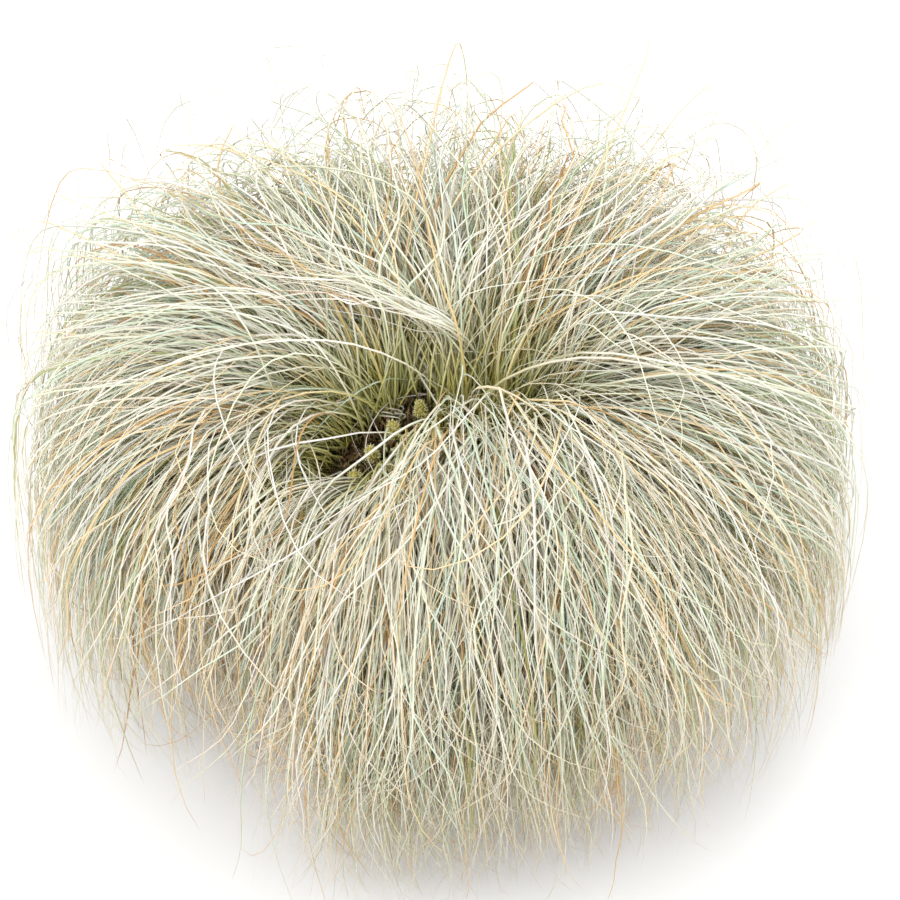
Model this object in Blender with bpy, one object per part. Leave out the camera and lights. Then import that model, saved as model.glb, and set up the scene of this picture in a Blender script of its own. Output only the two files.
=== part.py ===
"""A hair sedge in a plain clay pot: a mop of fine leaves that arch out of the crown and hang round the pot.

Metres, +Z up. The origin is the middle of the pot's flat underside, where it stands.
-Y is the side that the plant is seen from, and the crown is parted towards -X, -Y.
"""

import math

import bmesh
import bpy
from mathutils import Vector

# Pot
POT_HEIGHT = 0.190
POT_RIM_RADIUS = 0.108
POT_MOUTH_RADIUS = 0.097
POT_NECK_RADIUS = 0.0985
POT_BASE_RADIUS = 0.070
POT_WALL = 0.008
POT_FLOOR = 0.010
RIM_BAND_HEIGHT = 0.040
EDGE_ROUND = 0.003
DRAIN_HOLES = 4
DRAIN_HOLE_RADIUS = 0.0065
DRAIN_RING_RADIUS = 0.038
TURNED_SIDES = 42
DRILL_SIDES = 16

# Potting soil and the woody crown on top of it
GAP = 0.0004
SOIL_BELOW_RIM = 0.009
SOIL_EDGE_DROP = 0.002
SOIL_EDGE_WIDTH = 0.0036
CROWN_RADIUS = 0.086
CROWN_EDGE_HEIGHT = 0.002
CROWN_RISE = 0.022
CROWN_RINGS = (1.0, 0.82, 0.64, 0.46, 0.28, 0.12, 0.0)
CROWN_LUMP = 0.0016
LUMPS_ROUND = 12
LUMP_SPIRAL = 140.0
LUMP_RIPPLE = 260.0

# Leaves: the run of a leaf at the skirt, and how one at the heart of the crown differs from it
SKIRT_LENGTH = 0.226
HEART_EXTRA_LENGTH = 0.112
HEART_EXTRA_LENGTH_BEHIND = 0.072
HEART_SHORTER_ALONG_X = 0.04
SKIRT_LAUNCH = 52.0
HEART_UPRIGHT = 24.0
HEART_UPRIGHT_BEHIND = 22.0
SKIRT_HANG = 175.0
HEART_HANG_LESS = 9.0
HEART_HANG_MORE_BEHIND = 14.0
SKIRT_BEND = 3.3
HEART_BEND_LESS = 1.35
HEART_BEND_LESS_BEHIND = 0.65
BEHIND_SHARPNESS = 1.8
SKIRT_START_RADIUS = 0.083
HEART_START_RADIUS = 0.011
HEART_WIDER_ALONG_X = 0.026
START_CROWDING = 0.85
START_ABOVE_CROWN = 0.0008
SWIRL = math.radians(9.0)
STEPS_ALONG_LEAF = 60

# A tuft is a lock of leaves that splits into pointed fingers
FINGERS = 3
TRUNK_STATIONS = (0.0, 0.06, 0.13, 0.21, 0.31, 0.42, 0.55)
FINGER_SHARES = (0.38, 0.72)
ROW_FILL = 0.84
SIDE_GAP = math.radians(1.1)
VALLEY_SHARE = 0.35
END_THICKNESS = 0.72
TIP_REACH = 0.91
TIP_RAGGEDNESS = 0.09

# Rows of tufts from the skirt to the heart: name, how many fill the ring, and where the first one stands
ROWS = (
    ("skirt", 13, math.radians(4.0)),
    ("lower", 12, math.radians(12.0)),
    ("upper", 11, math.radians(25.7)),
    ("heart", 9, math.radians(22.0)),
)
PARTING_ANGLE = math.radians(222.0)
PARTING_HALF_WIDTH = math.radians(15.0)
PARTED_ROWS = ("lower", "upper", "heart")

# Old flower spikes that stand in the parting: place across and along, height, and lean from upright
FLOWER_SPIKES = (
    (-0.0130, 0.0010, 0.0150, 4.0),
    (-0.0285, -0.0125, 0.0150, 8.0),
    (-0.0410, -0.0265, 0.0130, 14.0),
    (-0.0500, -0.0400, 0.0120, 20.0),
)
SPIKE_RADIUS = 0.0044
SPIKE_SIDES = 8
SPIKE_SHAPE = ((0.45, 0.0), (0.40, 0.22), (0.85, 0.42), (1.0, 0.62), (0.80, 0.84))

CLAY = (0.36, 0.13, 0.075)
SOIL = (0.045, 0.027, 0.017)
CROWN_BROWN = (0.20, 0.17, 0.065)
SPIKE_OLIVE = (0.47, 0.44, 0.16)
LEAF_COLOURS = {
    "skirt": (0.55, 0.50, 0.33),
    "lower": (0.60, 0.57, 0.38),
    "upper": (0.66, 0.66, 0.45),
    "heart": (0.73, 0.73, 0.52),
}

SOIL_TOP = POT_HEIGHT - SOIL_BELOW_RIM
CROWN_BASE = SOIL_TOP + GAP


def clear_scene():
    for old in list(bpy.data.objects):
        bpy.data.objects.remove(old)


def make_material(name, colour, roughness):
    material = bpy.data.materials.new(name)
    material.use_nodes = True
    shader = material.node_tree.nodes["Principled BSDF"]
    shader.inputs["Base Color"].default_value = (*colour, 1.0)
    shader.inputs["Roughness"].default_value = roughness
    shader.inputs["Metallic"].default_value = 0.0
    return material


def add_object(name, mesh, material, smooth_angle=None):
    mesh.materials.append(material)
    if smooth_angle is not None:
        mesh.shade_smooth()
        mesh.set_sharp_from_angle(angle=smooth_angle)
    thing = bpy.data.objects.new(name, mesh)
    bpy.context.scene.collection.objects.link(thing)
    return thing


def mesh_from(name, points, faces):
    mesh = bpy.data.meshes.new(name)
    mesh.from_pydata(points, [], faces)
    return mesh


# Turned pieces

def turned_mesh(name, profile):
    """A closed body from (radius, height) points that start and end on the axis, underside first."""
    points = [Vector((0.0, 0.0, profile[0][1]))]
    for radius, height in profile[1:-1]:
        for side in range(TURNED_SIDES):
            turn = math.tau * side / TURNED_SIDES
            points.append(Vector((radius * math.cos(turn), radius * math.sin(turn), height)))
    points.append(Vector((0.0, 0.0, profile[-1][1])))
    last = len(points) - 1
    rings = len(profile) - 2
    faces = []
    for side in range(TURNED_SIDES):
        after = (side + 1) % TURNED_SIDES
        faces.append((0, 1 + after, 1 + side))
        for ring in range(rings - 1):
            low = 1 + ring * TURNED_SIDES
            high = low + TURNED_SIDES
            faces.append((low + side, low + after, high + after, high + side))
        top = 1 + (rings - 1) * TURNED_SIDES
        faces.append((last, top + side, top + after))
    return mesh_from(name, points, faces)


def rounded_corner(corner, start_angle, end_angle, steps=2):
    """Points of a quarter-round edge about a centre given as (radius, height)."""
    arc = []
    for step in range(steps + 1):
        angle = math.radians(start_angle + (end_angle - start_angle) * step / steps)
        arc.append((corner[0] + EDGE_ROUND * math.cos(angle), corner[1] + EDGE_ROUND * math.sin(angle)))
    return arc


def inner_wall_radius(height):
    """Radius of the pot's inside, which runs straight from its floor to its mouth."""
    floor_radius = POT_BASE_RADIUS - POT_WALL
    share = (height - POT_FLOOR) / (POT_HEIGHT - EDGE_ROUND - POT_FLOOR)
    return floor_radius + (POT_MOUTH_RADIUS - floor_radius) * share


def pot_profile():
    band_bottom = POT_HEIGHT - RIM_BAND_HEIGHT
    foot = (POT_BASE_RADIUS - EDGE_ROUND, EDGE_ROUND)
    outer_lip = (POT_RIM_RADIUS - EDGE_ROUND, POT_HEIGHT - EDGE_ROUND)
    inner_lip = (POT_MOUTH_RADIUS + EDGE_ROUND, POT_HEIGHT - EDGE_ROUND)
    return [
        (0.0, 0.0),
        *rounded_corner(foot, -90, 0),
        (POT_NECK_RADIUS, band_bottom - EDGE_ROUND),
        (POT_RIM_RADIUS - 2 * EDGE_ROUND, band_bottom),
        (POT_RIM_RADIUS - EDGE_ROUND / 2, band_bottom + EDGE_ROUND),
        *rounded_corner(outer_lip, 0, 90),
        *rounded_corner(inner_lip, 90, 180),
        (inner_wall_radius(POT_FLOOR), POT_FLOOR),
        (0.0, POT_FLOOR),
    ]


def add_drain_hole(pot, number):
    turn = math.tau * (number + 0.5) / DRAIN_HOLES
    mesh = bpy.data.meshes.new("drill")
    shape = bmesh.new()
    bmesh.ops.create_cone(
        shape,
        cap_ends=True,
        segments=DRILL_SIDES,
        radius1=DRAIN_HOLE_RADIUS,
        radius2=DRAIN_HOLE_RADIUS,
        depth=POT_FLOOR * 4,
    )
    shape.to_mesh(mesh)
    shape.free()
    drill = bpy.data.objects.new(f"drain_drill_{number + 1}", mesh)
    drill.location = (DRAIN_RING_RADIUS * math.cos(turn), DRAIN_RING_RADIUS * math.sin(turn), 0.0)
    drill.hide_render = True
    drill.display_type = "WIRE"
    bpy.context.scene.collection.objects.link(drill)
    cut = pot.modifiers.new(f"drain_hole_{number + 1}", "BOOLEAN")
    cut.operation = "DIFFERENCE"
    cut.object = drill


def make_pot():
    clay = make_material("clay", CLAY, 0.85)
    pot = add_object("pot", turned_mesh("pot", pot_profile()), clay, math.radians(35))
    for number in range(DRAIN_HOLES):
        add_drain_hole(pot, number)


def make_soil():
    bottom = POT_FLOOR + GAP
    profile = [
        (0.0, bottom),
        (inner_wall_radius(bottom) - GAP, bottom),
        (inner_wall_radius(SOIL_TOP) - GAP, SOIL_TOP - SOIL_EDGE_DROP),
        (inner_wall_radius(SOIL_TOP) - GAP - SOIL_EDGE_WIDTH, SOIL_TOP),
        (0.0, SOIL_TOP),
    ]
    add_object("potting_soil", turned_mesh("potting_soil", profile), make_material("soil", SOIL, 1.0))


def crown_height(radius):
    """Height of the smooth dome that the leaf bases stand on."""
    return CROWN_BASE + CROWN_EDGE_HEIGHT + CROWN_RISE * max(0.0, 1.0 - (radius / CROWN_RADIUS) ** 2)


def make_crown():
    """The root crown: a low dome whose rings are sunk into lumps, one for each group of shoots."""
    profile = [(0.0, CROWN_BASE), (CROWN_RADIUS, CROWN_BASE)]
    for share in CROWN_RINGS:
        profile.append((CROWN_RADIUS * share, crown_height(CROWN_RADIUS * share)))
    mesh = turned_mesh("root_crown", profile)
    edge_height = crown_height(CROWN_RADIUS)
    for vertex in mesh.vertices:
        radius = math.hypot(vertex.co.x, vertex.co.y)
        if vertex.co.z > edge_height + GAP and radius > GAP:
            turn = math.atan2(vertex.co.y, vertex.co.x)
            lump = math.sin(LUMPS_ROUND * turn + LUMP_SPIRAL * radius) * math.sin(LUMP_RIPPLE * radius)
            vertex.co.z -= CROWN_LUMP * (0.5 + 0.5 * lump)
    add_object("root_crown", mesh, make_material("crown", CROWN_BROWN, 0.95), math.radians(60))


# The run of the leaves

def leaf_run(row_share, turn):
    """Where a leaf stands, and the (distance out, height) points along it.

    row_share is 0 at the skirt and 1 at the heart, and turn is the direction that the leaf grows in. Its
    slope swings from its launch to its hang, quickly near the crown and hardly at all near the tip, as a
    thin leaf bends under its own weight. Runs of different shares or directions never cross.
    """
    behind = 0.5 + 0.5 * math.tanh(BEHIND_SHARPNESS * math.sin(turn)) / math.tanh(BEHIND_SHARPNESS)
    launch = SKIRT_LAUNCH - (HEART_UPRIGHT + HEART_UPRIGHT_BEHIND * behind) * row_share
    hang = SKIRT_HANG - (HEART_HANG_LESS - HEART_HANG_MORE_BEHIND * behind) * row_share
    bend = SKIRT_BEND - (HEART_BEND_LESS + HEART_BEND_LESS_BEHIND * behind) * row_share
    length = SKIRT_LENGTH + (HEART_EXTRA_LENGTH + HEART_EXTRA_LENGTH_BEHIND * behind) * row_share
    length *= 1.0 - HEART_SHORTER_ALONG_X * row_share * math.cos(2 * turn)
    start_span = SKIRT_START_RADIUS - HEART_START_RADIUS
    start = HEART_START_RADIUS + start_span * (1.0 - row_share) ** START_CROWDING
    foot_x = (start + HEART_WIDER_ALONG_X * row_share) * math.cos(turn)
    foot_y = start * math.sin(turn)
    distance = 0.0
    height = crown_height(math.hypot(foot_x, foot_y)) + START_ABOVE_CROWN
    points = [(distance, height)]
    step = length / STEPS_ALONG_LEAF
    for number in range(STEPS_ALONG_LEAF):
        left = 1.0 - (number + 0.5) / STEPS_ALONG_LEAF
        slope = math.radians(hang - (hang - launch) * left**bend)
        distance += step * math.sin(slope)
        height += step * math.cos(slope)
        points.append((distance, height))
    return (foot_x, foot_y), points


def place_on_run(row_share, turn, along):
    """The point at a share of a leaf's length, with the slow swirl that the whole mop has."""
    foot, points = leaf_run(row_share, turn)
    place = min(max(along, 0.0), 1.0) * STEPS_ALONG_LEAF
    before = min(int(place), STEPS_ALONG_LEAF - 1)
    part = place - before
    distance = points[before][0] * (1 - part) + points[before + 1][0] * part
    height = points[before][1] * (1 - part) + points[before + 1][1] * part
    swirled = turn + SWIRL * along * row_share
    return Vector((foot[0] + distance * math.cos(swirled), foot[1] + distance * math.sin(swirled), height))


# Tufts

class Lock:
    """The growing mesh of one tuft: rings of corners placed on the leaf runs, and the faces between them.

    A corner is given by how many fingers across it lies, and by its depth, from -1 underneath to 1 on top.
    """

    def __init__(self, row_number, turn_from, turn_to):
        self.middle_share = (row_number + 0.5) / len(ROWS)
        self.half_share = 0.5 * ROW_FILL / len(ROWS)
        self.turn_from = turn_from
        self.finger_width = (turn_to - turn_from) / FINGERS
        self.points = []
        self.faces = []

    def add_corner(self, across, depth, along, thickness):
        share = self.middle_share + depth * self.half_share * thickness
        self.points.append(place_on_run(share, self.turn_from + across * self.finger_width, along))
        return len(self.points) - 1

    def add_ring(self, outline, along, thickness):
        return [self.add_corner(across, depth, along, thickness) for across, depth in outline]

    def bridge(self, first, second):
        for index in range(len(first)):
            after = (index + 1) % len(first)
            self.faces.append((first[index], second[index], second[after], first[after]))

    def close_to_tip(self, ring, tip):
        for index in range(len(ring)):
            self.faces.append((ring[(index + 1) % len(ring)], ring[index], tip))


def trunk_outline():
    """Corners round the unparted lock: edge, ridge, valley, ridge ... edge on top, then back underneath."""
    top = [(0, 0.0)]
    for finger in range(FINGERS):
        top += [(finger + 0.5, 1.0), (finger + 1, VALLEY_SHARE)]
    top[-1] = (FINGERS, 0.0)
    return top + [(valley, -1.0) for valley in range(FINGERS - 1, 0, -1)]


def finger_corners(finger):
    """Which corners of the trunk's outline one finger goes on from."""
    corners = [2 * finger, 2 * finger + 1, 2 * finger + 2]
    if finger < FINGERS - 1:
        corners.append(3 * FINGERS - (finger + 1))
    if finger > 0:
        corners.append(3 * FINGERS - finger)
    return corners


def tip_reach(row_number, tuft_number, finger):
    """How far along its run a finger's tip lies: uneven, so that the hem is ragged."""
    return TIP_REACH + TIP_RAGGEDNESS * math.sin(2.4 * tuft_number + 1.9 * finger + 1.3 * row_number)


def thickness_at(along):
    """A lock is thin where it leaves the crown, full at the top of its arch and thin again where it parts."""
    share = min(1.0, along / TRUNK_STATIONS[-1])
    return END_THICKNESS + (1.0 - END_THICKNESS) * math.sin(math.pi * share)


def add_finger(lock, trunk_end, finger, reach):
    """Carries one finger on from the end of the trunk, narrowing to its point."""
    corners = finger_corners(finger)
    outline = [trunk_outline()[corner] for corner in corners]
    ring = [trunk_end[corner] for corner in corners]
    middle = finger + 0.5
    start = TRUNK_STATIONS[-1]
    thickness = thickness_at(start)
    for share in FINGER_SHARES:
        left = 1.0 - share
        narrowed = [(middle + (across - middle) * left, depth * left) for across, depth in outline]
        next_ring = lock.add_ring(narrowed, start + (reach - start) * share, thickness)
        lock.bridge(ring, next_ring)
        ring = next_ring
    lock.close_to_tip(ring, lock.add_corner(middle, 0.0, reach, thickness))


def tuft_mesh(name, row_number, tuft_number, turn_from, turn_to):
    """One lock of leaves: a ridged strip that parts into tapering fingers."""
    lock = Lock(row_number, turn_from, turn_to)
    rings = [lock.add_ring(trunk_outline(), along, thickness_at(along)) for along in TRUNK_STATIONS]
    lock.faces.append(tuple(rings[0]))
    for first, second in zip(rings, rings[1:]):
        lock.bridge(first, second)
    for finger in range(FINGERS):
        add_finger(lock, rings[-1], finger, tip_reach(row_number, tuft_number, finger))
    return mesh_from(name, lock.points, lock.faces)


def in_parting(row_name, turn):
    away = (turn - PARTING_ANGLE + math.pi) % math.tau - math.pi
    return row_name in PARTED_ROWS and abs(away) < PARTING_HALF_WIDTH


def make_tufts():
    for row_number, (row_name, count, first_turn) in enumerate(ROWS):
        leaf = make_material(f"{row_name}_leaves", LEAF_COLOURS[row_name], 0.6)
        pitch = math.tau / count
        number = 0
        for place in range(count):
            middle = first_turn + pitch * place
            if in_parting(row_name, middle):
                continue
            number += 1
            name = f"{row_name}_leaf_tuft_{number:02d}"
            half = pitch / 2 - SIDE_GAP / 2
            mesh = tuft_mesh(name, row_number, place, middle - half, middle + half)
            add_object(name, mesh, leaf, math.radians(50))


def spike_mesh(name, height):
    """A blunt bud on a short neck, on the axis of its own object."""
    points, faces = [], [tuple(reversed(range(SPIKE_SIDES)))]
    for width, rise in SPIKE_SHAPE:
        for side in range(SPIKE_SIDES):
            turn = math.tau * side / SPIKE_SIDES
            across = SPIKE_RADIUS * width
            points.append((across * math.cos(turn), across * math.sin(turn), height * rise))
    points.append((0.0, 0.0, height))
    tip = len(points) - 1
    for side in range(SPIKE_SIDES):
        after = (side + 1) % SPIKE_SIDES
        for ring in range(len(SPIKE_SHAPE) - 1):
            low, high = ring * SPIKE_SIDES, (ring + 1) * SPIKE_SIDES
            faces.append((low + side, low + after, high + after, high + side))
        faces.append((tip - SPIKE_SIDES + side, tip - SPIKE_SIDES + after, tip))
    return mesh_from(name, points, faces)


def make_flower_spikes():
    """Each spike leans away from the middle of the crown, with its foot clear of the dome."""
    olive = make_material("flower_spike", SPIKE_OLIVE, 0.9)
    for number, (across, along, height, lean) in enumerate(FLOWER_SPIKES, start=1):
        name = f"flower_spike_{number}"
        spike = add_object(name, spike_mesh(name, height), olive, math.radians(60))
        lift = SPIKE_RADIUS * math.sin(math.radians(lean)) + START_ABOVE_CROWN
        spike.location = (across, along, crown_height(math.hypot(across, along)) + lift)
        spike.rotation_euler = (0.0, math.radians(lean), math.atan2(along, across))


clear_scene()
make_pot()
make_soil()
make_crown()
make_tufts()
make_flower_spikes()
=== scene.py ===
# %% [markdown]
# A hair sedge in a clay pot
#
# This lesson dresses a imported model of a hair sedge. The plant is a mop of very fine leaves: each one is a
# millimetre or two wide and a hand or two long. They stand up out of a woody crown, arch over the rim and
# hang round the pot. The picture that we match looks at the plant from the front and from well above, so
# close that leaves fill it. We build every leaf as its own thin closed prism, because the look of this
# plant is nothing but leaves: how they are combed, where they cross, and how they fade from olive at the
# foot to cream and straw.

import math

import bmesh
import bpy
import numpy as np
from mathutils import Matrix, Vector, noise


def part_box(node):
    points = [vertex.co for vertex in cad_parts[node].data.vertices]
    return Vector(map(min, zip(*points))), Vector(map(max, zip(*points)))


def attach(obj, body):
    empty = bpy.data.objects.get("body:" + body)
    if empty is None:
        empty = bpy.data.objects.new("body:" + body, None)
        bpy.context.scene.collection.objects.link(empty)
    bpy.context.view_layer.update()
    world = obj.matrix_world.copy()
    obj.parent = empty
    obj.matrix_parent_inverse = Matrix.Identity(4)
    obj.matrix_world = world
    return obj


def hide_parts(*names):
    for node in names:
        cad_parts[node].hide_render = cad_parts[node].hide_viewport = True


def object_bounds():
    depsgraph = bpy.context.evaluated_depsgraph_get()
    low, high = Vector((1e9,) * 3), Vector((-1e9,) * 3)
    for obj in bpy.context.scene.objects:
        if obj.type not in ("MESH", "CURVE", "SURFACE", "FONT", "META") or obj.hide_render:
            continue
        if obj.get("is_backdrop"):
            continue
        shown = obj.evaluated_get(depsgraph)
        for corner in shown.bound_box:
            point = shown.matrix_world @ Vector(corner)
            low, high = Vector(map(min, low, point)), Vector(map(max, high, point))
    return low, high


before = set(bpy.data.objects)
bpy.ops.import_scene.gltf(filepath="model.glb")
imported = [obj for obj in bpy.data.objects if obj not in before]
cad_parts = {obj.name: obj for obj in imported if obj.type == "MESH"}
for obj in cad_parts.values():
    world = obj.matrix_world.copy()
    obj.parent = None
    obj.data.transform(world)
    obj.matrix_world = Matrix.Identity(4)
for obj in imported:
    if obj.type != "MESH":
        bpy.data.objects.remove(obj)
cad_low, cad_high = (np.array(corner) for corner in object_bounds())
MM = 0.001
print("CAD box, mm:", np.round(cad_low / MM), np.round(cad_high / MM))


# %% [markdown]
# Sizes that the frame gives
#
# The pot, the soil and the crown are turned shapes, so their boxes say all that we need: heights and radii.
# The crown is a low dome, and every leaf stands on it.

# %% Read the sizes
POT_HIGH = np.array(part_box("pot")[1])
CROWN_LOW, CROWN_HIGH = (np.array(corner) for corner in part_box("root_crown"))
SOIL_LOW, SOIL_HIGH = (np.array(corner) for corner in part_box("potting_soil"))
RIM_RADIUS = POT_HIGH[0]
RIM_TOP = POT_HIGH[2]
SOIL_RADIUS = SOIL_HIGH[0]
CROWN_RADIUS = CROWN_HIGH[0]
CROWN_EDGE = 2 * MM
DOME_EDGE = CROWN_LOW[2] + CROWN_EDGE
DOME_TOP = CROWN_HIGH[2]


def dome_height(radius):
    """How high the crown stands at a distance from the pot's axis."""
    return DOME_TOP - (DOME_TOP - DOME_EDGE) * np.minimum(1.0, (radius / CROWN_RADIUS) ** 2)


print("rim", round(RIM_RADIUS / MM), "crown", round(CROWN_RADIUS / MM), "dome top", round(DOME_TOP / MM, 1))


# %% [markdown]
# The camera
#
# The photograph is taken from standing height, some fifty degrees above the ground, looking down into the
# crown. We aim the camera so that the crown lands where the photograph has it, a little left of and above
# the middle of the frame. A long lens from well back keeps the pot's sides from leaning.

# %% Place the camera
ELEVATION = math.radians(50)
CAMERA_DISTANCE = 1.35
METRES_PER_PIXEL = 0.000603
FRAME_PIXELS = 900
SENSOR_WIDTH = 36.0
CROWN_PIXEL = (443, 420)

aim_point = np.array((0.0, 0.0, DOME_TOP))
camera_data = bpy.data.cameras.new("camera")
camera_data.sensor_width = SENSOR_WIDTH
camera_data.lens = SENSOR_WIDTH * CAMERA_DISTANCE / (METRES_PER_PIXEL * FRAME_PIXELS)
camera_data.shift_x = (FRAME_PIXELS / 2 - CROWN_PIXEL[0]) / FRAME_PIXELS
camera_data.shift_y = (CROWN_PIXEL[1] - FRAME_PIXELS / 2) / FRAME_PIXELS
camera_data.clip_start = 0.01
camera = bpy.data.objects.new("camera", camera_data)
bpy.context.scene.collection.objects.link(camera)
TO_CAMERA = np.array((0.0, -math.cos(ELEVATION), math.sin(ELEVATION)))
PICTURE_UP = np.array((0.0, math.sin(ELEVATION), math.cos(ELEVATION)))
eye_point = aim_point + TO_CAMERA * CAMERA_DISTANCE
camera.location = eye_point
camera.rotation_euler = (math.pi / 2 - ELEVATION, 0.0, 0.0)
bpy.context.scene.camera = camera
print("lens", round(camera_data.lens, 1), "mm")


# %% [markdown]
# Floor and light
#
# A pale floor and a bright, even sky give the soft light of a dull summer day. One large lamp from behind
# the left shoulder models the arch of the leaves, and a weaker one from behind lights their edges, so that
# a pale leaf stands out from the darker ones under it.

# %% Make the floor
FLOOR_HALF = 3.0
FLOOR_COLOUR = (0.80, 0.79, 0.77, 1.0)


def new_material(name):
    """A node material and its main shader."""
    material = bpy.data.materials.new(name)
    material.use_nodes = True
    return material, material.node_tree.nodes["Principled BSDF"]


def add_object(name, mesh, material):
    """Puts a mesh with its material into the scene."""
    mesh.materials.append(material)
    thing = bpy.data.objects.new(name, mesh)
    bpy.context.scene.collection.objects.link(thing)
    return thing


floor_mesh = bpy.data.meshes.new("floor")
floor_corners = [(-FLOOR_HALF, -FLOOR_HALF, 0), (FLOOR_HALF, -FLOOR_HALF, 0),
                 (FLOOR_HALF, FLOOR_HALF, 0), (-FLOOR_HALF, FLOOR_HALF, 0)]
floor_mesh.from_pydata(floor_corners, [], [(0, 1, 2, 3)])
floor_material, floor_shader = new_material("pale_floor")
floor_shader.inputs["Base Color"].default_value = FLOOR_COLOUR
floor_shader.inputs["Roughness"].default_value = 0.9
add_object("floor", floor_mesh, floor_material)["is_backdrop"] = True
print("floor:", 2 * FLOOR_HALF, "m square")

# %% Light the plant
SKY_COLOUR, SKY_STRENGTH = (0.95, 0.97, 1.0, 1.0), 1.57
LAMP_AIM, LAMP_SIZE = Vector((0.0, 0.0, 0.15)), 0.8
LAMPS = {"key_lamp": ((-0.8, -0.8, 2.0), 10), "back_lamp": ((0.7, 1.2, 1.5), 6)}

world = bpy.data.worlds.new("sky")
world.use_nodes = True
world.node_tree.nodes["Background"].inputs["Color"].default_value = SKY_COLOUR
world.node_tree.nodes["Background"].inputs["Strength"].default_value = SKY_STRENGTH
bpy.context.scene.world = world
for lamp_name, (lamp_place, power) in LAMPS.items():
    lamp_data = bpy.data.lights.new(lamp_name, "AREA")
    lamp_data.size = LAMP_SIZE
    lamp_data.energy = power
    lamp = bpy.data.objects.new(lamp_name, lamp_data)
    lamp.location = lamp_place
    lamp.rotation_euler = (LAMP_AIM - Vector(lamp_place)).to_track_quat("-Z", "Y").to_euler()
    bpy.context.scene.collection.objects.link(lamp)
bpy.context.scene.view_settings.view_transform = "Standard"
bpy.context.scene.view_settings.look = "None"
print("lamps and their power, W:", {name: power for name, (_, power) in LAMPS.items()})


# %% [markdown]
# Helpers for colours
#
# Every finish here is built from the same few nodes: noise, a colour ramp, a mix of two colours and a
# bump. A few short helpers keep the materials readable. Colours are written as they are read off a screen.

# %% Mix colours
def srgb(red, green, blue):
    """A screen colour, 0 to 255, turned into the linear values that shaders take."""
    shares = [channel / 255 for channel in (red, green, blue)]
    return (*[c / 12.92 if c <= 0.04 else ((c + 0.055) / 1.055) ** 2.4 for c in shares], 1.0)


def grey(value):
    return (value, value, value, 1.0)


def add_ramp(tree, source, stops):
    """A colour ramp driven by a socket. stops are (position, colour)."""
    ramp = tree.nodes.new("ShaderNodeValToRGB")
    elements = ramp.color_ramp.elements
    elements[0].position, elements[0].color = stops[0]
    elements[1].position, elements[1].color = stops[-1]
    for position, colour in stops[1:-1]:
        elements.new(position).color = colour
    tree.links.new(source, ramp.inputs["Fac"])
    return ramp.outputs["Color"]


def add_noise(tree, coordinates, scale, detail=3.0, stretch=(1.0, 1.0, 1.0)):
    mapping = tree.nodes.new("ShaderNodeMapping")
    mapping.inputs["Scale"].default_value = stretch
    tree.links.new(coordinates, mapping.inputs["Vector"])
    grain = tree.nodes.new("ShaderNodeTexNoise")
    grain.inputs["Scale"].default_value = scale
    grain.inputs["Detail"].default_value = detail
    tree.links.new(mapping.outputs["Vector"], grain.inputs["Vector"])
    return grain.outputs["Fac"]


def mix_colours(tree, factor, first, second, blend="MIX"):
    """Each of the three is a socket or a fixed value."""
    mix = tree.nodes.new("ShaderNodeMix")
    mix.data_type = "RGBA"
    mix.blend_type = blend
    for socket, value in zip((mix.inputs[0], mix.inputs[6], mix.inputs[7]), (factor, first, second)):
        if isinstance(value, bpy.types.NodeSocket):
            tree.links.new(value, socket)
        else:
            socket.default_value = value
    return mix.outputs[2]


def add_bump(tree, shader, height, distance):
    bump = tree.nodes.new("ShaderNodeBump")
    bump.inputs["Distance"].default_value = distance
    tree.links.new(height, bump.inputs["Height"])
    tree.links.new(bump.outputs["Normal"], shader.inputs["Normal"])


print("white is", [round(c, 2) for c in srgb(250, 248, 230)[:3]])


# %% [markdown]
# The clay pot
#
# A clay pot is thrown or pressed on a wheel, so we turn it too: one outline, swung round the axis. The
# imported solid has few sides, which shows as flats, so we turn a finer one with the same sizes. Clay is
# never quite true: faint throwing rings run round the wall, which dips in by a fraction of a
# millimetre. The drain holes come after, cut through the floor with a boolean, as the potter cuts them
# through the wet clay.

# %% Turn the pot
NECK_RADIUS = 0.0985
MOUTH_RADIUS = 0.097
BASE_RADIUS = 0.070
WALL = 0.008
FLOOR_THICKNESS = 0.010
BAND_HEIGHT = 0.040
EDGE_ROUND = 0.003
POT_SIDES = 128
WALL_RINGS = 26
THROWING_RINGS = 15
THROWING_DEPTH = 0.12 * MM
THROWING_WANDER = 0.8
FLOOR_RINGS, BAND_RINGS, INSIDE_RINGS = 8, 8, 6


def arc(centre, first_angle, last_angle, steps=5):
    """Points of a round edge, as (radius, height)."""
    angles = np.radians(np.linspace(first_angle, last_angle, steps))
    return [(centre[0] + EDGE_ROUND * math.cos(a), centre[1] + EDGE_ROUND * math.sin(a)) for a in angles]


def straight(first, last, steps):
    """Points between two ends, without the ends."""
    shares = np.arange(1, steps) / steps
    return [(first[0] + (last[0] - first[0]) * s, first[1] + (last[1] - first[1]) * s) for s in shares]


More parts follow.
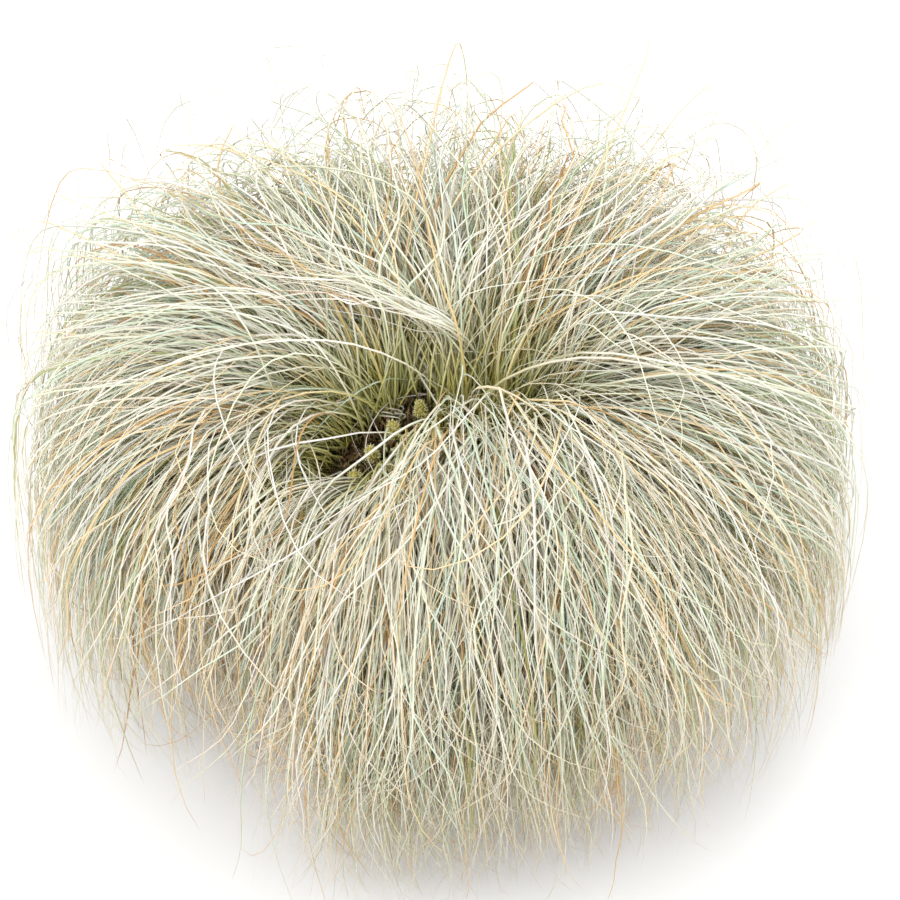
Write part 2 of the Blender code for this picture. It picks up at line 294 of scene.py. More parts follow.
def pot_outline():
    """Underside first, then up the outside, over the rim and down the inside."""
    band_low = RIM_TOP - BAND_HEIGHT
    foot = (BASE_RADIUS, EDGE_ROUND)
    neck = (NECK_RADIUS, band_low - EDGE_ROUND)
    band = (RIM_RADIUS - EDGE_ROUND / 2, band_low + EDGE_ROUND)
    shoulder = (RIM_RADIUS, RIM_TOP - EDGE_ROUND)
    mouth = (MOUTH_RADIUS, RIM_TOP - EDGE_ROUND)
    inside_foot = (BASE_RADIUS - WALL, FLOOR_THICKNESS)
    return [
        *straight((0.0, 0.0), (BASE_RADIUS - EDGE_ROUND, 0.0), FLOOR_RINGS),
        *arc((BASE_RADIUS - EDGE_ROUND, EDGE_ROUND), -90, 0),
        *straight(foot, neck, WALL_RINGS),
        neck,
        (RIM_RADIUS - 2 * EDGE_ROUND, band_low),
        (RIM_RADIUS - EDGE_ROUND, band_low + 0.4 * EDGE_ROUND),
        band,
        *straight(band, shoulder, BAND_RINGS),
        *arc((RIM_RADIUS - EDGE_ROUND, RIM_TOP - EDGE_ROUND), 0, 90),
        *arc((MOUTH_RADIUS + EDGE_ROUND, RIM_TOP - EDGE_ROUND), 90, 180),
        *straight(mouth, inside_foot, WALL_RINGS),
        inside_foot,
        *straight(inside_foot, (0.0, FLOOR_THICKNESS), INSIDE_RINGS),
    ]


def turn_outline(outline, sides, bottom, top):
    """A closed body of revolution. bottom and top are the heights where it meets the axis."""
    turns = math.tau * np.arange(sides) / sides
    shape = bmesh.new()
    rings = [[shape.verts.new((r * math.cos(t), r * math.sin(t), h)) for t in turns] for r, h in outline]
    first = shape.verts.new((0, 0, bottom))
    last = shape.verts.new((0, 0, top))
    for side in range(sides):
        after = (side + 1) % sides
        shape.faces.new((first, rings[0][after], rings[0][side]))
        shape.faces.new((last, rings[-1][side], rings[-1][after]))
        for low, high in zip(rings, rings[1:]):
            shape.faces.new((low[side], low[after], high[after], high[side]))
    return shape


def to_mesh(shape, name):
    mesh = bpy.data.meshes.new(name)
    shape.to_mesh(mesh)
    shape.free()
    mesh.shade_smooth()
    return mesh


def throw_marks(shape):
    """Presses rings a hair deep into the wall, so that light catches on it as on thrown clay."""
    for vertex in shape.verts:
        x, y, z = vertex.co
        radius = math.hypot(x, y)
        if radius > MOUTH_RADIUS / 2 and EDGE_ROUND < z < RIM_TOP - EDGE_ROUND:
            turn = math.atan2(y, x)
            ripple = math.sin(math.tau * THROWING_RINGS * z / RIM_TOP + THROWING_WANDER * math.sin(turn))
            scale = 1 - THROWING_DEPTH * (1 + ripple) / radius
            vertex.co.x, vertex.co.y = x * scale, y * scale


pot_shape = turn_outline(pot_outline(), POT_SIDES, 0.0, FLOOR_THICKNESS)
throw_marks(pot_shape)
pot_mesh = to_mesh(pot_shape, "turned_pot")
print("pot:", len(pot_mesh.polygons), "faces")


# %% [markdown]
# Drain holes and fired clay
#
# Four round holes through the floor let the water out. Old flower-pot clay is a dull brick red with a brown
# cast. Water soaks through it and leaves lime behind, so it carries pale cloudy patches, thickest low on
# the wall, and fine pale and dark grains show all over. Three noises give these: a wide one for the firing,
# a middle one for the clouds and a very fine one for the grain.

# %% Cut the drain holes
DRAIN_HOLES = 4
DRAIN_HOLE_RADIUS = 0.0065
HOLE_SIDES = 28
DRAIN_RING_RADIUS = 0.038
SHARP_EDGE = math.radians(50)


def cut_drain_holes(pot):
    """Cuts all the holes with one set of pegs, and keeps the result in the mesh."""
    shape = bmesh.new()
    for hole in range(DRAIN_HOLES):
        turn = math.tau * (hole + 0.5) / DRAIN_HOLES
        peg = bmesh.ops.create_cone(shape, cap_ends=True, segments=HOLE_SIDES, depth=4 * FLOOR_THICKNESS,
                                    radius1=DRAIN_HOLE_RADIUS, radius2=DRAIN_HOLE_RADIUS)
        place = Vector((math.cos(turn), math.sin(turn), 0)) * DRAIN_RING_RADIUS
        bmesh.ops.translate(shape, verts=peg["verts"], vec=place)
    pegs = bpy.data.objects.new("pegs", to_mesh(shape, "pegs"))
    bpy.context.scene.collection.objects.link(pegs)
    cut = pot.modifiers.new("drain", "BOOLEAN")
    cut.operation = "DIFFERENCE"
    cut.object = pegs
    finished = bpy.data.meshes.new_from_object(pot.evaluated_get(bpy.context.evaluated_depsgraph_get()))
    pot.modifiers.clear()
    pot.data = finished
    bpy.data.objects.remove(pegs)
    finished.set_sharp_from_angle(angle=SHARP_EDGE)


# %% Finish the clay
def clay_material():
    material, shader = new_material("fired_clay")
    tree = material.node_tree
    place = tree.nodes.new("ShaderNodeTexCoord").outputs["Object"]
    firing = add_noise(tree, place, 14.0, 4.0, (1.0, 1.0, 2.2))
    reds = (0.30, srgb(122, 62, 44)), (0.52, srgb(150, 80, 56)), (0.75, srgb(172, 100, 72))
    body = add_ramp(tree, firing, reds)
    grain = add_noise(tree, place, 900.0, 2.0)
    grains = add_ramp(tree, grain, ((0.30, grey(0.72)), (0.5, grey(1.0)), (0.72, grey(1.22))))
    speckled = mix_colours(tree, 1.0, body, grains, "MULTIPLY")
    split = tree.nodes.new("ShaderNodeSeparateXYZ")
    tree.links.new(place, split.inputs[0])
    low_down = add_ramp(tree, split.outputs["Z"], ((0.0, grey(0.75)), (0.10, grey(0.35)), (0.2, grey(0.15))))
    clouds = add_noise(tree, place, 26.0, 6.0)
    bloom = add_ramp(tree, clouds, ((0.46, grey(0.0)), (0.66, grey(0.9))))
    lime = mix_colours(tree, 1.0, bloom, low_down, "MULTIPLY")
    tree.links.new(mix_colours(tree, lime, speckled, srgb(214, 196, 176)), shader.inputs["Base Color"])
    rough = add_ramp(tree, clouds, ((0.3, grey(0.72)), (0.7, grey(0.93))))
    tree.links.new(rough, shader.inputs["Roughness"])
    add_bump(tree, shader, grain, 0.25 * MM)
    return material


pot = add_object("clay_pot", pot_mesh, clay_material())
cut_drain_holes(pot)
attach(pot, "root")
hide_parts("pot")
print("finished pot:", len(pot.data.polygons), "faces,", DRAIN_HOLES, "drain holes")


# %% [markdown]
# Potting soil
#
# Between the crown and the clay a ring of soil shows, if leaves are parted. Potting soil is crumbs of bark
# and peat with bits of grit in it. The body is turned like the pot and its top is pushed up and down by
# noise, and loose crumbs lie on it. The crumbs are small rough lumps, each squashed its own way.

# %% Fill the pot with soil
SOIL_RINGS = 22
SOIL_SIDES = 96
SOIL_ROUGHNESS = 1.1 * MM
SOIL_COARSE, SOIL_FINE = 0.65, 0.35
COARSE_SCALE, FINE_SCALE = 160, 520
SOIL_TOP_EDGE, SOIL_TOP_SPAN = 0.02, 0.94
CRUMBS = 150
CRUMB_SIZES = (0.5, 1.5)
CRUMB_SQUASH = (0.55, 1.0)
CRUMB_PERCH = 0.1
CRUMB_ROUGHNESS, CRUMB_SCALE, CRUMB_VARIETY = 0.35, 700, 90
SOIL_LEVEL = SOIL_HIGH[2] - SOIL_ROUGHNESS
SOIL_BOTTOM_RADIUS = BASE_RADIUS - WALL - 0.5 * MM
SOIL_SEED = 7
soil_random = np.random.default_rng(SOIL_SEED)


def soil_outline():
    side = [(SOIL_BOTTOM_RADIUS, SOIL_LOW[2]), (SOIL_RADIUS, SOIL_LEVEL - 2 * MM)]
    shares = [1 - SOIL_TOP_EDGE - SOIL_TOP_SPAN * ring / SOIL_RINGS for ring in range(SOIL_RINGS)]
    return side + [(SOIL_RADIUS * share, SOIL_LEVEL) for share in shares]


def roughen_soil(shape):
    for vertex in shape.verts:
        if vertex.co.z > SOIL_LEVEL - MM:
            coarse = noise.noise(vertex.co * COARSE_SCALE)
            fine = noise.noise(vertex.co * FINE_SCALE)
            vertex.co.z += SOIL_ROUGHNESS * (SOIL_COARSE * coarse + SOIL_FINE * fine)


def add_crumb(shape, radius, turn, size):
    crumb = bmesh.ops.create_icosphere(shape, subdivisions=1, radius=size)["verts"]
    squash = soil_random.uniform(*CRUMB_SQUASH, 3)
    place = Vector((radius * math.cos(turn), radius * math.sin(turn), SOIL_LEVEL + CRUMB_PERCH * size))
    for vertex in crumb:
        rough = 1 + CRUMB_ROUGHNESS * noise.noise(vertex.co * CRUMB_SCALE + place * CRUMB_VARIETY)
        vertex.co = Vector(np.array(vertex.co) * squash * rough) + place


soil_shape = turn_outline(soil_outline(), SOIL_SIDES, SOIL_LOW[2], SOIL_LEVEL)
roughen_soil(soil_shape)
for crumb_size in soil_random.uniform(*CRUMB_SIZES, CRUMBS) * MM:
    crumb_radius = soil_random.uniform(CROWN_RADIUS, SOIL_RADIUS - 2 * MM)
    add_crumb(soil_shape, crumb_radius, soil_random.uniform(0, math.tau), crumb_size)


def soil_material():
    material, shader = new_material("potting_soil")
    tree = material.node_tree
    place = tree.nodes.new("ShaderNodeTexCoord").outputs["Object"]
    crumbs = add_noise(tree, place, 240.0, 5.0)
    peat = (0.32, srgb(26, 18, 13)), (0.5, srgb(52, 36, 25)), (0.68, srgb(88, 64, 44))
    dark = add_ramp(tree, crumbs, peat)
    grit = add_noise(tree, place, 760.0, 1.0)
    grit_share = add_ramp(tree, grit, ((0.66, grey(0.0)), (0.72, grey(0.8))))
    tree.links.new(mix_colours(tree, grit_share, dark, srgb(150, 134, 110)), shader.inputs["Base Color"])
    shader.inputs["Roughness"].default_value = 0.97
    add_bump(tree, shader, crumbs, 0.8 * MM)
    return material


soil = add_object("crumbly_soil", to_mesh(soil_shape, "crumbly_soil"), soil_material())
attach(soil, "root")
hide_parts("potting_soil")
print("soil:", len(soil.data.polygons), "faces")


# %% [markdown]
# The crown
#
# All the leaves come out of one woody crown. Its top is a dome of old leaf bases, brown and fibrous, with
# pits between the shoots. It only shows where the mop parts. Its colour is partly the brown of old leaf
# bases and partly painted shade: it is made very dark, for the deep shade in that parting. We turn a fine
# dome with the same sizes as the imported one and pit it with noise.

# %% Shape the crown
CROWN_RINGS = 34
CROWN_SIDES = 132
CROWN_PITS = 2.4 * MM
PIT_SCALE, PIT_GRAIN_SCALE = 130, 210
PIT_FADE = 6 * MM


def crown_outline():
    radii = [CROWN_RADIUS * (1 - ring / CROWN_RINGS) for ring in range(CROWN_RINGS)]
    return [(CROWN_RADIUS, CROWN_LOW[2])] + [(radius, float(dome_height(radius))) for radius in radii]


def pit_crown(shape):
    """Sinks pits into the dome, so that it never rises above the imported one."""
    for vertex in shape.verts:
        radius = math.hypot(vertex.co.x, vertex.co.y)
        if vertex.co.z > DOME_EDGE + 0.5 * MM:
            lumps = noise.cell(vertex.co * PIT_SCALE) / 2 + noise.noise(vertex.co * PIT_GRAIN_SCALE)
            fade = min(1.0, (CROWN_RADIUS - radius) / PIT_FADE)
            vertex.co.z -= CROWN_PITS * fade * min(1.0, max(0.0, 0.5 + lumps))


def crown_material_with_painted_shade():
    material, shader = new_material("woody_crown_painted_shade")
    tree = material.node_tree
    place = tree.nodes.new("ShaderNodeTexCoord").outputs["Object"]
    fibres = add_noise(tree, place, 95.0, 6.0, (1.0, 1.0, 0.25))
    # Very dark browns: the crown's own brown with painted shade for the deep parting laid over it.
    browns_and_painted_shade = (0.30, srgb(24, 15, 7)), (0.50, srgb(52, 36, 16)), (0.72, srgb(92, 72, 34))
    tree.links.new(add_ramp(tree, fibres, browns_and_painted_shade), shader.inputs["Base Color"])
    shader.inputs["Roughness"].default_value = 0.92
    add_bump(tree, shader, fibres, 1.2 * MM)
    return material


crown_shape = turn_outline(crown_outline(), CROWN_SIDES, CROWN_LOW[2], DOME_TOP - CROWN_PITS / 2)
pit_crown(crown_shape)
crown = add_object("woody_crown_painted_shade", to_mesh(crown_shape, "woody_crown_painted_shade"), crown_material_with_painted_shade())
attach(crown, "root")
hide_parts("root_crown")
print("crown:", len(crown.data.polygons), "faces")


# %% [markdown]
# Blades
#
# A sedge leaf is a narrow strip with a keel under its middle, so its cross-section is a flat triangle.
# Three corners to a station are the fewest that close a shape with a broad face, and with thousands of
# leaves every corner counts. The last station closes in a point. The same blade makes the short sheaths
# round the shoots and the bristles of the flower spikes, only stouter.
#
# A blade's colour runs along it, and differs from blade to blade. We store both in the UV map: U says which
# kind of leaf it is and V how far along we are, so that one material can colour every leaf.

# %% Build blades
UV_NAME = "OFBake"
KEEL_DEPTH = 0.75
KIND_HALF_WIDTH = 0.004
U_RANGE = (0.001, 0.999)
V_START, V_SPAN = 0.004, 0.992
FOOT_SWELL, FOOT_SWELL_REACH = 0.30, 0.08
TAPER_POWER, TAPER_ROUND = 2.6, 0.85


def blade_frames(points, headings, stations, twist):
    """The sideways and upward directions of each blade at each station."""
    along = np.gradient(points, axis=1)
    along /= np.linalg.norm(along, axis=2, keepdims=True)
    side = np.stack([-np.sin(headings), np.cos(headings), np.zeros_like(headings)], axis=2)
    side -= along * np.sum(side * along, axis=2, keepdims=True)
    side /= np.maximum(1e-9, np.linalg.norm(side, axis=2, keepdims=True))
    up = np.cross(along, side)
    roll = (twist[:, 0:1] + twist[:, 1:2] * stations)[..., None]
    return side * np.cos(roll) + up * np.sin(roll), up * np.cos(roll) - side * np.sin(roll)


def blade_corners(points, side, up, stations, width):
    """Left edge, right edge and keel of each station, then the tip."""
    swell = 1 + FOOT_SWELL * np.exp(-stations / FOOT_SWELL_REACH)
    taper = np.maximum(0.0, 1 - stations**TAPER_POWER) ** TAPER_ROUND
    half = (width[:, None] * swell * taper / 2)[..., None]
    corners = np.stack([points + side * half, points - side * half, points - up * half * KEEL_DEPTH], axis=2)
    return np.concatenate([corners[:, :-1].reshape(len(points), -1, 3), points[:, -1:, :]], axis=1)


def blade_faces(rings):
    """Four-sided and three-sided faces of one blade, as corner numbers."""
    quads = []
    for ring in range(rings - 2):
        low, high = ring * 3, ring * 3 + 3
        quads += [(low, low + 1, high + 1, high), (low + 1, low + 2, high + 2, high + 1),
                  (low + 2, low, high, high + 2)]
    end = (rings - 2) * 3
    tip = end + 3
    triangles = [(0, 2, 1), (end, end + 1, tip), (end + 1, end + 2, tip), (end + 2, end, tip)]
    return np.array(quads), np.array(triangles)


def blade_map(rings, stations, kind):
    """The U and V of every corner: kind of leaf across, place along the leaf upwards."""
    u_shift = np.concatenate([np.tile((KIND_HALF_WIDTH, -KIND_HALF_WIDTH, 0.0), rings - 1), [0.0]])
    u = np.clip(kind[:, None] + u_shift[None, :], *U_RANGE)
    along = np.concatenate([np.repeat(stations[:, :-1], 3, axis=1), stations[:, -1:]], axis=1)
    v = V_START + V_SPAN * along
    return np.stack([u.reshape(-1), v.reshape(-1)], axis=1)


def blade_mesh(name, stations, points, headings, width, twist, kind):
    """One mesh of closed blades. points go by (blade, station); width, twist and kind have one value a blade.

    stations say how far along its blade each point is. They may be the same for all the blades.
    """
    count, rings = points.shape[:2]
    stations = np.broadcast_to(stations, (count, rings))
    per_blade = (rings - 1) * 3 + 1
    side, up = blade_frames(points, headings, stations, twist)
    corners = blade_corners(points, side, up, stations, width)
    quads, triangles = blade_faces(rings)
    first = (np.arange(count) * per_blade)[:, None, None]
    loops = [(faces[None] + first).reshape(count, -1) for faces in (quads, triangles)]
    loops = np.concatenate(loops, axis=1).reshape(-1)
    sizes = np.tile(np.repeat((4, 3), (len(quads), len(triangles))), count)
    mesh = bpy.data.meshes.new(name)
    mesh.vertices.add(count * per_blade)
    mesh.vertices.foreach_set("co", corners.reshape(-1).astype(np.float32))
    mesh.loops.add(len(loops))
    mesh.loops.foreach_set("vertex_index", loops.astype(np.int32))
    mesh.polygons.add(len(sizes))
    mesh.polygons.foreach_set("loop_start", (np.cumsum(sizes) - sizes).astype(np.int32))
    mesh.update(calc_edges=True)
    layer = mesh.uv_layers.new(name=UV_NAME)
    layer.uv.foreach_set("vector", blade_map(rings, stations, kind)[loops].reshape(-1).astype(np.float32))
    mesh.shade_smooth()
    return mesh


def triangle_count(mesh):
    return sum(len(face.vertices) - 2 for face in mesh.polygons)


print("faces of a blade of four stations:", *(part.tolist() for part in blade_faces(4)))


# %% [markdown]
# Leaf colour
#
# Hair sedge is pale: most leaves are a bleached grey-green to cream, some are straw, and here and there a
# dead one is tan or brown. At the foot all are olive. U picks the kind of leaf off a colour ramp, from
# living olive on the left to dead brown on the right. V then fades the foot to olive and the tip to straw.
# A stretched noise over the same map gives each leaf its own faint streaks, so no two leaves of a kind are
# quite alike.

# %% Make the leaf materials
KINDS = (
    (0.00, srgb(144, 138, 66)),
    (0.10, srgb(180, 184, 118)),
    (0.20, srgb(198, 211, 174)),
    (0.30, srgb(203, 220, 206)),
    (0.40, srgb(222, 230, 204)),
    (0.48, srgb(233, 229, 224)),
    (0.56, srgb(230, 234, 206)),
    (0.64, srgb(243, 237, 227)),
    (0.76, srgb(240, 226, 196)),
    (0.86, srgb(236, 211, 165)),
    (0.94, srgb(224, 188, 132)),
    (1.00, srgb(182, 136, 88)),
)
FOOT_OLIVE = srgb(197, 193, 86)
STREAK_DARK, STREAK_LIGHT = (0.89, 0.87, 0.82), (1.06, 1.06, 1.05)
TIP_STRAW = srgb(222, 186, 148)


def leaf_material(name, foot_reach, brightness):
    """foot_reach is how far up the leaf the olive of its foot goes."""
    material, shader = new_material(name)
    tree = material.node_tree
    leaf_map = tree.nodes.new("ShaderNodeUVMap")
    leaf_map.uv_map = UV_NAME
    split = tree.nodes.new("ShaderNodeSeparateXYZ")
    tree.links.new(leaf_map.outputs["UV"], split.inputs[0])
    kind = add_ramp(tree, split.outputs["X"], KINDS)
    streaks = add_noise(tree, leaf_map.outputs["UV"], 1.0, 2.0, (110.0, 6.0, 1.0))
    dark, light = ((*[channel * brightness for channel in tint], 1.0) for tint in (STREAK_DARK, STREAK_LIGHT))
    shade = add_ramp(tree, streaks, ((0.30, dark), (0.70, light)))
    body = mix_colours(tree, 1.0, kind, shade, "MULTIPLY")
    foot_stops = ((0.0, grey(0.90)), (foot_reach * 0.4, grey(0.65)), (foot_reach, grey(0.0)))
    foot = add_ramp(tree, split.outputs["Y"], foot_stops)
    with_foot = mix_colours(tree, foot, body, FOOT_OLIVE)
    tip = add_ramp(tree, split.outputs["Y"], ((0.62, grey(0.0)), (0.90, grey(0.30)), (1.0, grey(0.70))))
    tree.links.new(mix_colours(tree, tip, with_foot, TIP_STRAW), shader.inputs["Base Color"])
    shader.inputs["Roughness"].default_value = 0.5
    shader.inputs["Specular IOR Level"].default_value = 0.35
    return material


LEAF_MATERIALS = {
    "skirt": leaf_material("skirt_leaf", 0.32, 0.98),
    "lower": leaf_material("lower_leaf", 0.30, 1.00),
    "upper": leaf_material("upper_leaf", 0.27, 1.01),
    "heart": leaf_material("heart_leaf", 0.245, 1.01),
}
print(len(LEAF_MATERIALS), "leaf materials")


# %% [markdown]
# The run of one leaf
#
# A hair sedge leaf leaves the crown at a slant, bends over under its own weight within a hand's width, and
# then hangs nearly straight. So its slope is what we model: it swings from the launch to the hang, fast
# near the foot and hardly at all at the tip. Adding up small steps in the direction of the slope gives the
# leaf's path. The leaves at the heart of the crown launch steeply and reach furthest, those behind it most
# of all, and the ones at the rim lean far out from the start.
#
# The leaves of a tuft are worked out at once, as arrays with one row for each leaf, because there are
# thousands in all.

# %% Set the habit of a leaf by its place
UP = np.array((0.0, 0.0, 1.0))
FORWARD = math.radians(-90)
SKIRT = {"length": 0.226, "launch": 52.0, "hang": 175.0, "bend": 3.3}
HEART_CHANGE = {"length": 0.112, "launch": -24.0, "hang": -9.0, "bend": -1.35}
HEART_CHANGE_BEHIND = {"length": 0.072, "launch": -22.0, "hang": 14.0, "bend": -0.65}
HEART_SHORTER_ALONG_X = 0.08
BEHIND_SHARPNESS = 1.8
PARTED_TURN, PARTED_WIDTH = math.radians(222), math.radians(36)
LOWER_BESIDE_PARTING = 34.0


def turn_between(turn, middle):
    """From middle to turn the short way round, in radians."""
    return (turn - middle + math.pi) % math.tau - math.pi


def near_turn(turn, middle, width):
    """1 in the middle direction, and less the further a turn is from it."""
    return np.exp(-((turn_between(turn, middle) / width) ** 2))


def near_parting(turn):
    """1 at the parting and less to either side of it, with the sign of the side."""
    side = np.where(turn_between(turn, PARTED_TURN) < 0, -1.0, 1.0)
    return side * near_turn(turn, PARTED_TURN, PARTED_WIDTH)


def leaf_habit(share, turn):
    """Length, launch, hang and bend of a leaf, by its place in the crown and its direction."""
    behind = 0.5 + 0.5 * np.tanh(BEHIND_SHARPNESS * np.sin(turn)) / math.tanh(BEHIND_SHARPNESS)
    habit = {}
    for name, at_skirt in SKIRT.items():
        habit[name] = at_skirt + (HEART_CHANGE[name] + HEART_CHANGE_BEHIND[name] * behind) * share
    habit["length"] = habit["length"] * (1 - HEART_SHORTER_ALONG_X * share * np.cos(2 * turn))
    habit["launch"] = habit["launch"] + LOWER_BESIDE_PARTING * share * np.maximum(0.0, near_parting(turn))
    return habit


behind_lengths = [float(leaf_habit(share, -FORWARD)["length"]) for share in (0.0, 1.0)]
print("leaves behind, at the rim and at the heart, mm:", np.round(np.array(behind_lengths) / MM))


# %% [markdown]
# Where the leaves stand
#
# The heart of the mop is a ridge that runs from left to right, so the feet stand on ovals, not circles.
# In front of the crown's left side the mop is parted: no leaf stands in a wedge that starts near the
# middle and widens to the rim. The leaves that would stand there crowd together on both sides of it.

# %% Stand the feet on the crown
HEART_START, SKIRT_START = 0.011, 0.083
START_ROUND = 0.85
FEET_WIDER_ALONG_X = 0.072
FOOT_DEPTH = 2 * MM
PARTING_FROM, PARTING_TO = np.array((-0.002, 0.022)), np.array((-0.074, -0.052))
PARTING_HALF_FROM, PARTING_HALF_TO = 4 * MM, 13 * MM
PARTING_CROWDING = 0.3
PARTING_END = 0.78


def start_radius(share):
    """How far from the axis a leaf stands: share is 0 at the rim of the crown and 1 at its heart."""
    return HEART_START + (SKIRT_START - HEART_START) * np.maximum(0.0, 1.0 - share) ** START_ROUND


def clear_parting(x, y, turn):
    """Moves feet out of the wedge where the mop is parted, each to the side that its leaf grows to."""
    run = PARTING_TO - PARTING_FROM
    length = np.linalg.norm(run)
    run_x, run_y = run / length
    away = (x - PARTING_FROM[0]) * run_x + (y - PARTING_FROM[1]) * run_y
    aside = (y - PARTING_FROM[1]) * run_x - (x - PARTING_FROM[0]) * run_y
    half = PARTING_HALF_FROM + (PARTING_HALF_TO - PARTING_HALF_FROM) * np.clip(away / length, 0, 1)
    side = np.where(turn_between(turn, PARTED_TURN) < 0, -1.0, 1.0)
    beside = np.abs(turn_between(turn, PARTED_TURN)) < math.pi / 2
    crowded = half + PARTING_CROWDING * np.abs(aside - side * half)
    wanted = np.where(aside * side < half, crowded, aside * side)
    shift = np.where(beside & (away > 0) & (away < PARTING_END * length), side * wanted - aside, 0.0)
    return x - shift * run_y, y + shift * run_x


def stand_on_crown(share, turn, scatter):
    """Feet of leaves. scatter is a shift of each foot, which stays on the crown and out of the parting."""
    start = start_radius(share)
    x = (start + FEET_WIDER_ALONG_X * share) * np.cos(turn) + scatter[:, 0]
    y = start * np.sin(turn) + scatter[:, 1]
    x, y = clear_parting(x, y, turn)
    radius = np.hypot(x, y)
    pull = np.minimum(1.0, SKIRT_START / np.maximum(radius, 1e-9))
    x, y, radius = x * pull, y * pull, radius * pull
    return np.stack([x, y, dome_height(radius) - FOOT_DEPTH], axis=1)


print("feet stand", round(HEART_START / MM), "to", round(SKIRT_START / MM), "mm from the axis")


# %% [markdown]
# How the mop is combed
#
# If every leaf grew straight away from the axis, the mop would look like a wheel. The top leaves in front
# are combed nearly side by side instead, each towards the front. At the parting the leaves lean away from
# the gap at the foot and close in again lower down, so that the gap is a hollow and not a cut through the
# whole mop. In front on the left the sideways lean and drift of leaves is calmed, because seen from above
# it looks twice as wide there. Some leaves in front rise steeply before they fall, shorter and straighter
# than the rest, which hides the seam between the front and the back.

# %% Comb and part the mop
COMBED_FRONT_LEFT, COMBED_BEYOND = 0.92, 0.3
COMBED_FROM_RIGHT, COMBED_FROM_LEFT = 1.3, 2.6
COMBED_RIGHT, COMBED_MIDDLE, COMBED_WIDTH = (math.radians(angle) for angle in (44, 56, 32))
PARTED_LEFT, PARTED_RIGHT = math.radians(38), math.radians(10)
CLOSED_BY, CLOSED_BY_RIGHT = math.radians(50), math.radians(26)
CALMED_TURN, CALMED_WIDTH = math.radians(250), math.radians(42)
CALMED_TO, CALMED_WAVES_TO = 0.45, 1.15
RISEN_TURN, RISEN_WIDTH, RISEN_BY = (math.radians(angle) for angle in (278, 56, 46))
RISEN_STRAIGHTER, RISEN_SHORTER = 0.32, 0.22
PARTED_POWER, CLOSED_POWER = 1.5, 1.2


def comb(turn, share):
    """The top leaves in front hang more nearly side by side than spokes would."""
    off = turn_between(turn, FORWARD)
    in_front = np.clip(np.cos(off), 0, 1) ** 0.5
    beyond_parting = turn_between(turn, PARTED_TURN) < 0
    past_parting = -COMBED_BEYOND * in_front * np.sin(2 * off) / 2
    to_left = np.where(beyond_parting, past_parting, -COMBED_FRONT_LEFT * off)
    to_right = -COMBED_RIGHT * np.exp(-(((off - COMBED_MIDDLE) / COMBED_WIDTH) ** 2))
    on_top = np.minimum(1.0, np.where(off > 0, COMBED_FROM_RIGHT, COMBED_FROM_LEFT) * share)
    return FORWARD + off + on_top * np.where(off > 0, to_right, to_left)


def part_mop(turn, share, s):
    """How far a leaf turns from the parting at its foot, and back towards it further along."""
    near = near_parting(turn)
    parted = np.where(near < 0, PARTED_LEFT, PARTED_RIGHT) * share * near
    closed = np.where(near < 0, CLOSED_BY, CLOSED_BY_RIGHT) * share * near
    return parted[:, None] * (1 - s) ** PARTED_POWER - closed[:, None] * s**CLOSED_POWER


print("a leaf at the right, combed by", round(math.degrees(float(comb(np.array(0.0), 1.0)))), "degrees")


# %% [markdown]
# Walking along the leaves
#
# Each leaf has traits of its own. Launch, hang, length and bend change its run. Lean turns all of it and
# drift turns it more and more. Slant, sway and ripple push it sideways: steadily, in long waves and in
# short ones. Bob is a wave up and down, and curl makes its tip turn and hook. Waves and phase say how many
# waves it has and where they begin. Rise says how much it takes part in the rising.

# %% Work out leaf paths
TRAIT_NAMES = ("launch", "hang", "length", "bend", "lean", "drift", "slant", "sway", "ripple", "bob", "waves",
               "phase", "curl", "rise")
SWIRL = math.radians(9)
FINE_STEPS = 72
RIPPLES = 2.6
TURN_POWER, SLANT_POWER, RIPPLE_POWER = 1.3, 0.6, 0.7
CURL_FROM, HOOK_FROM, HOOK = 0.68, 0.50, 0.45


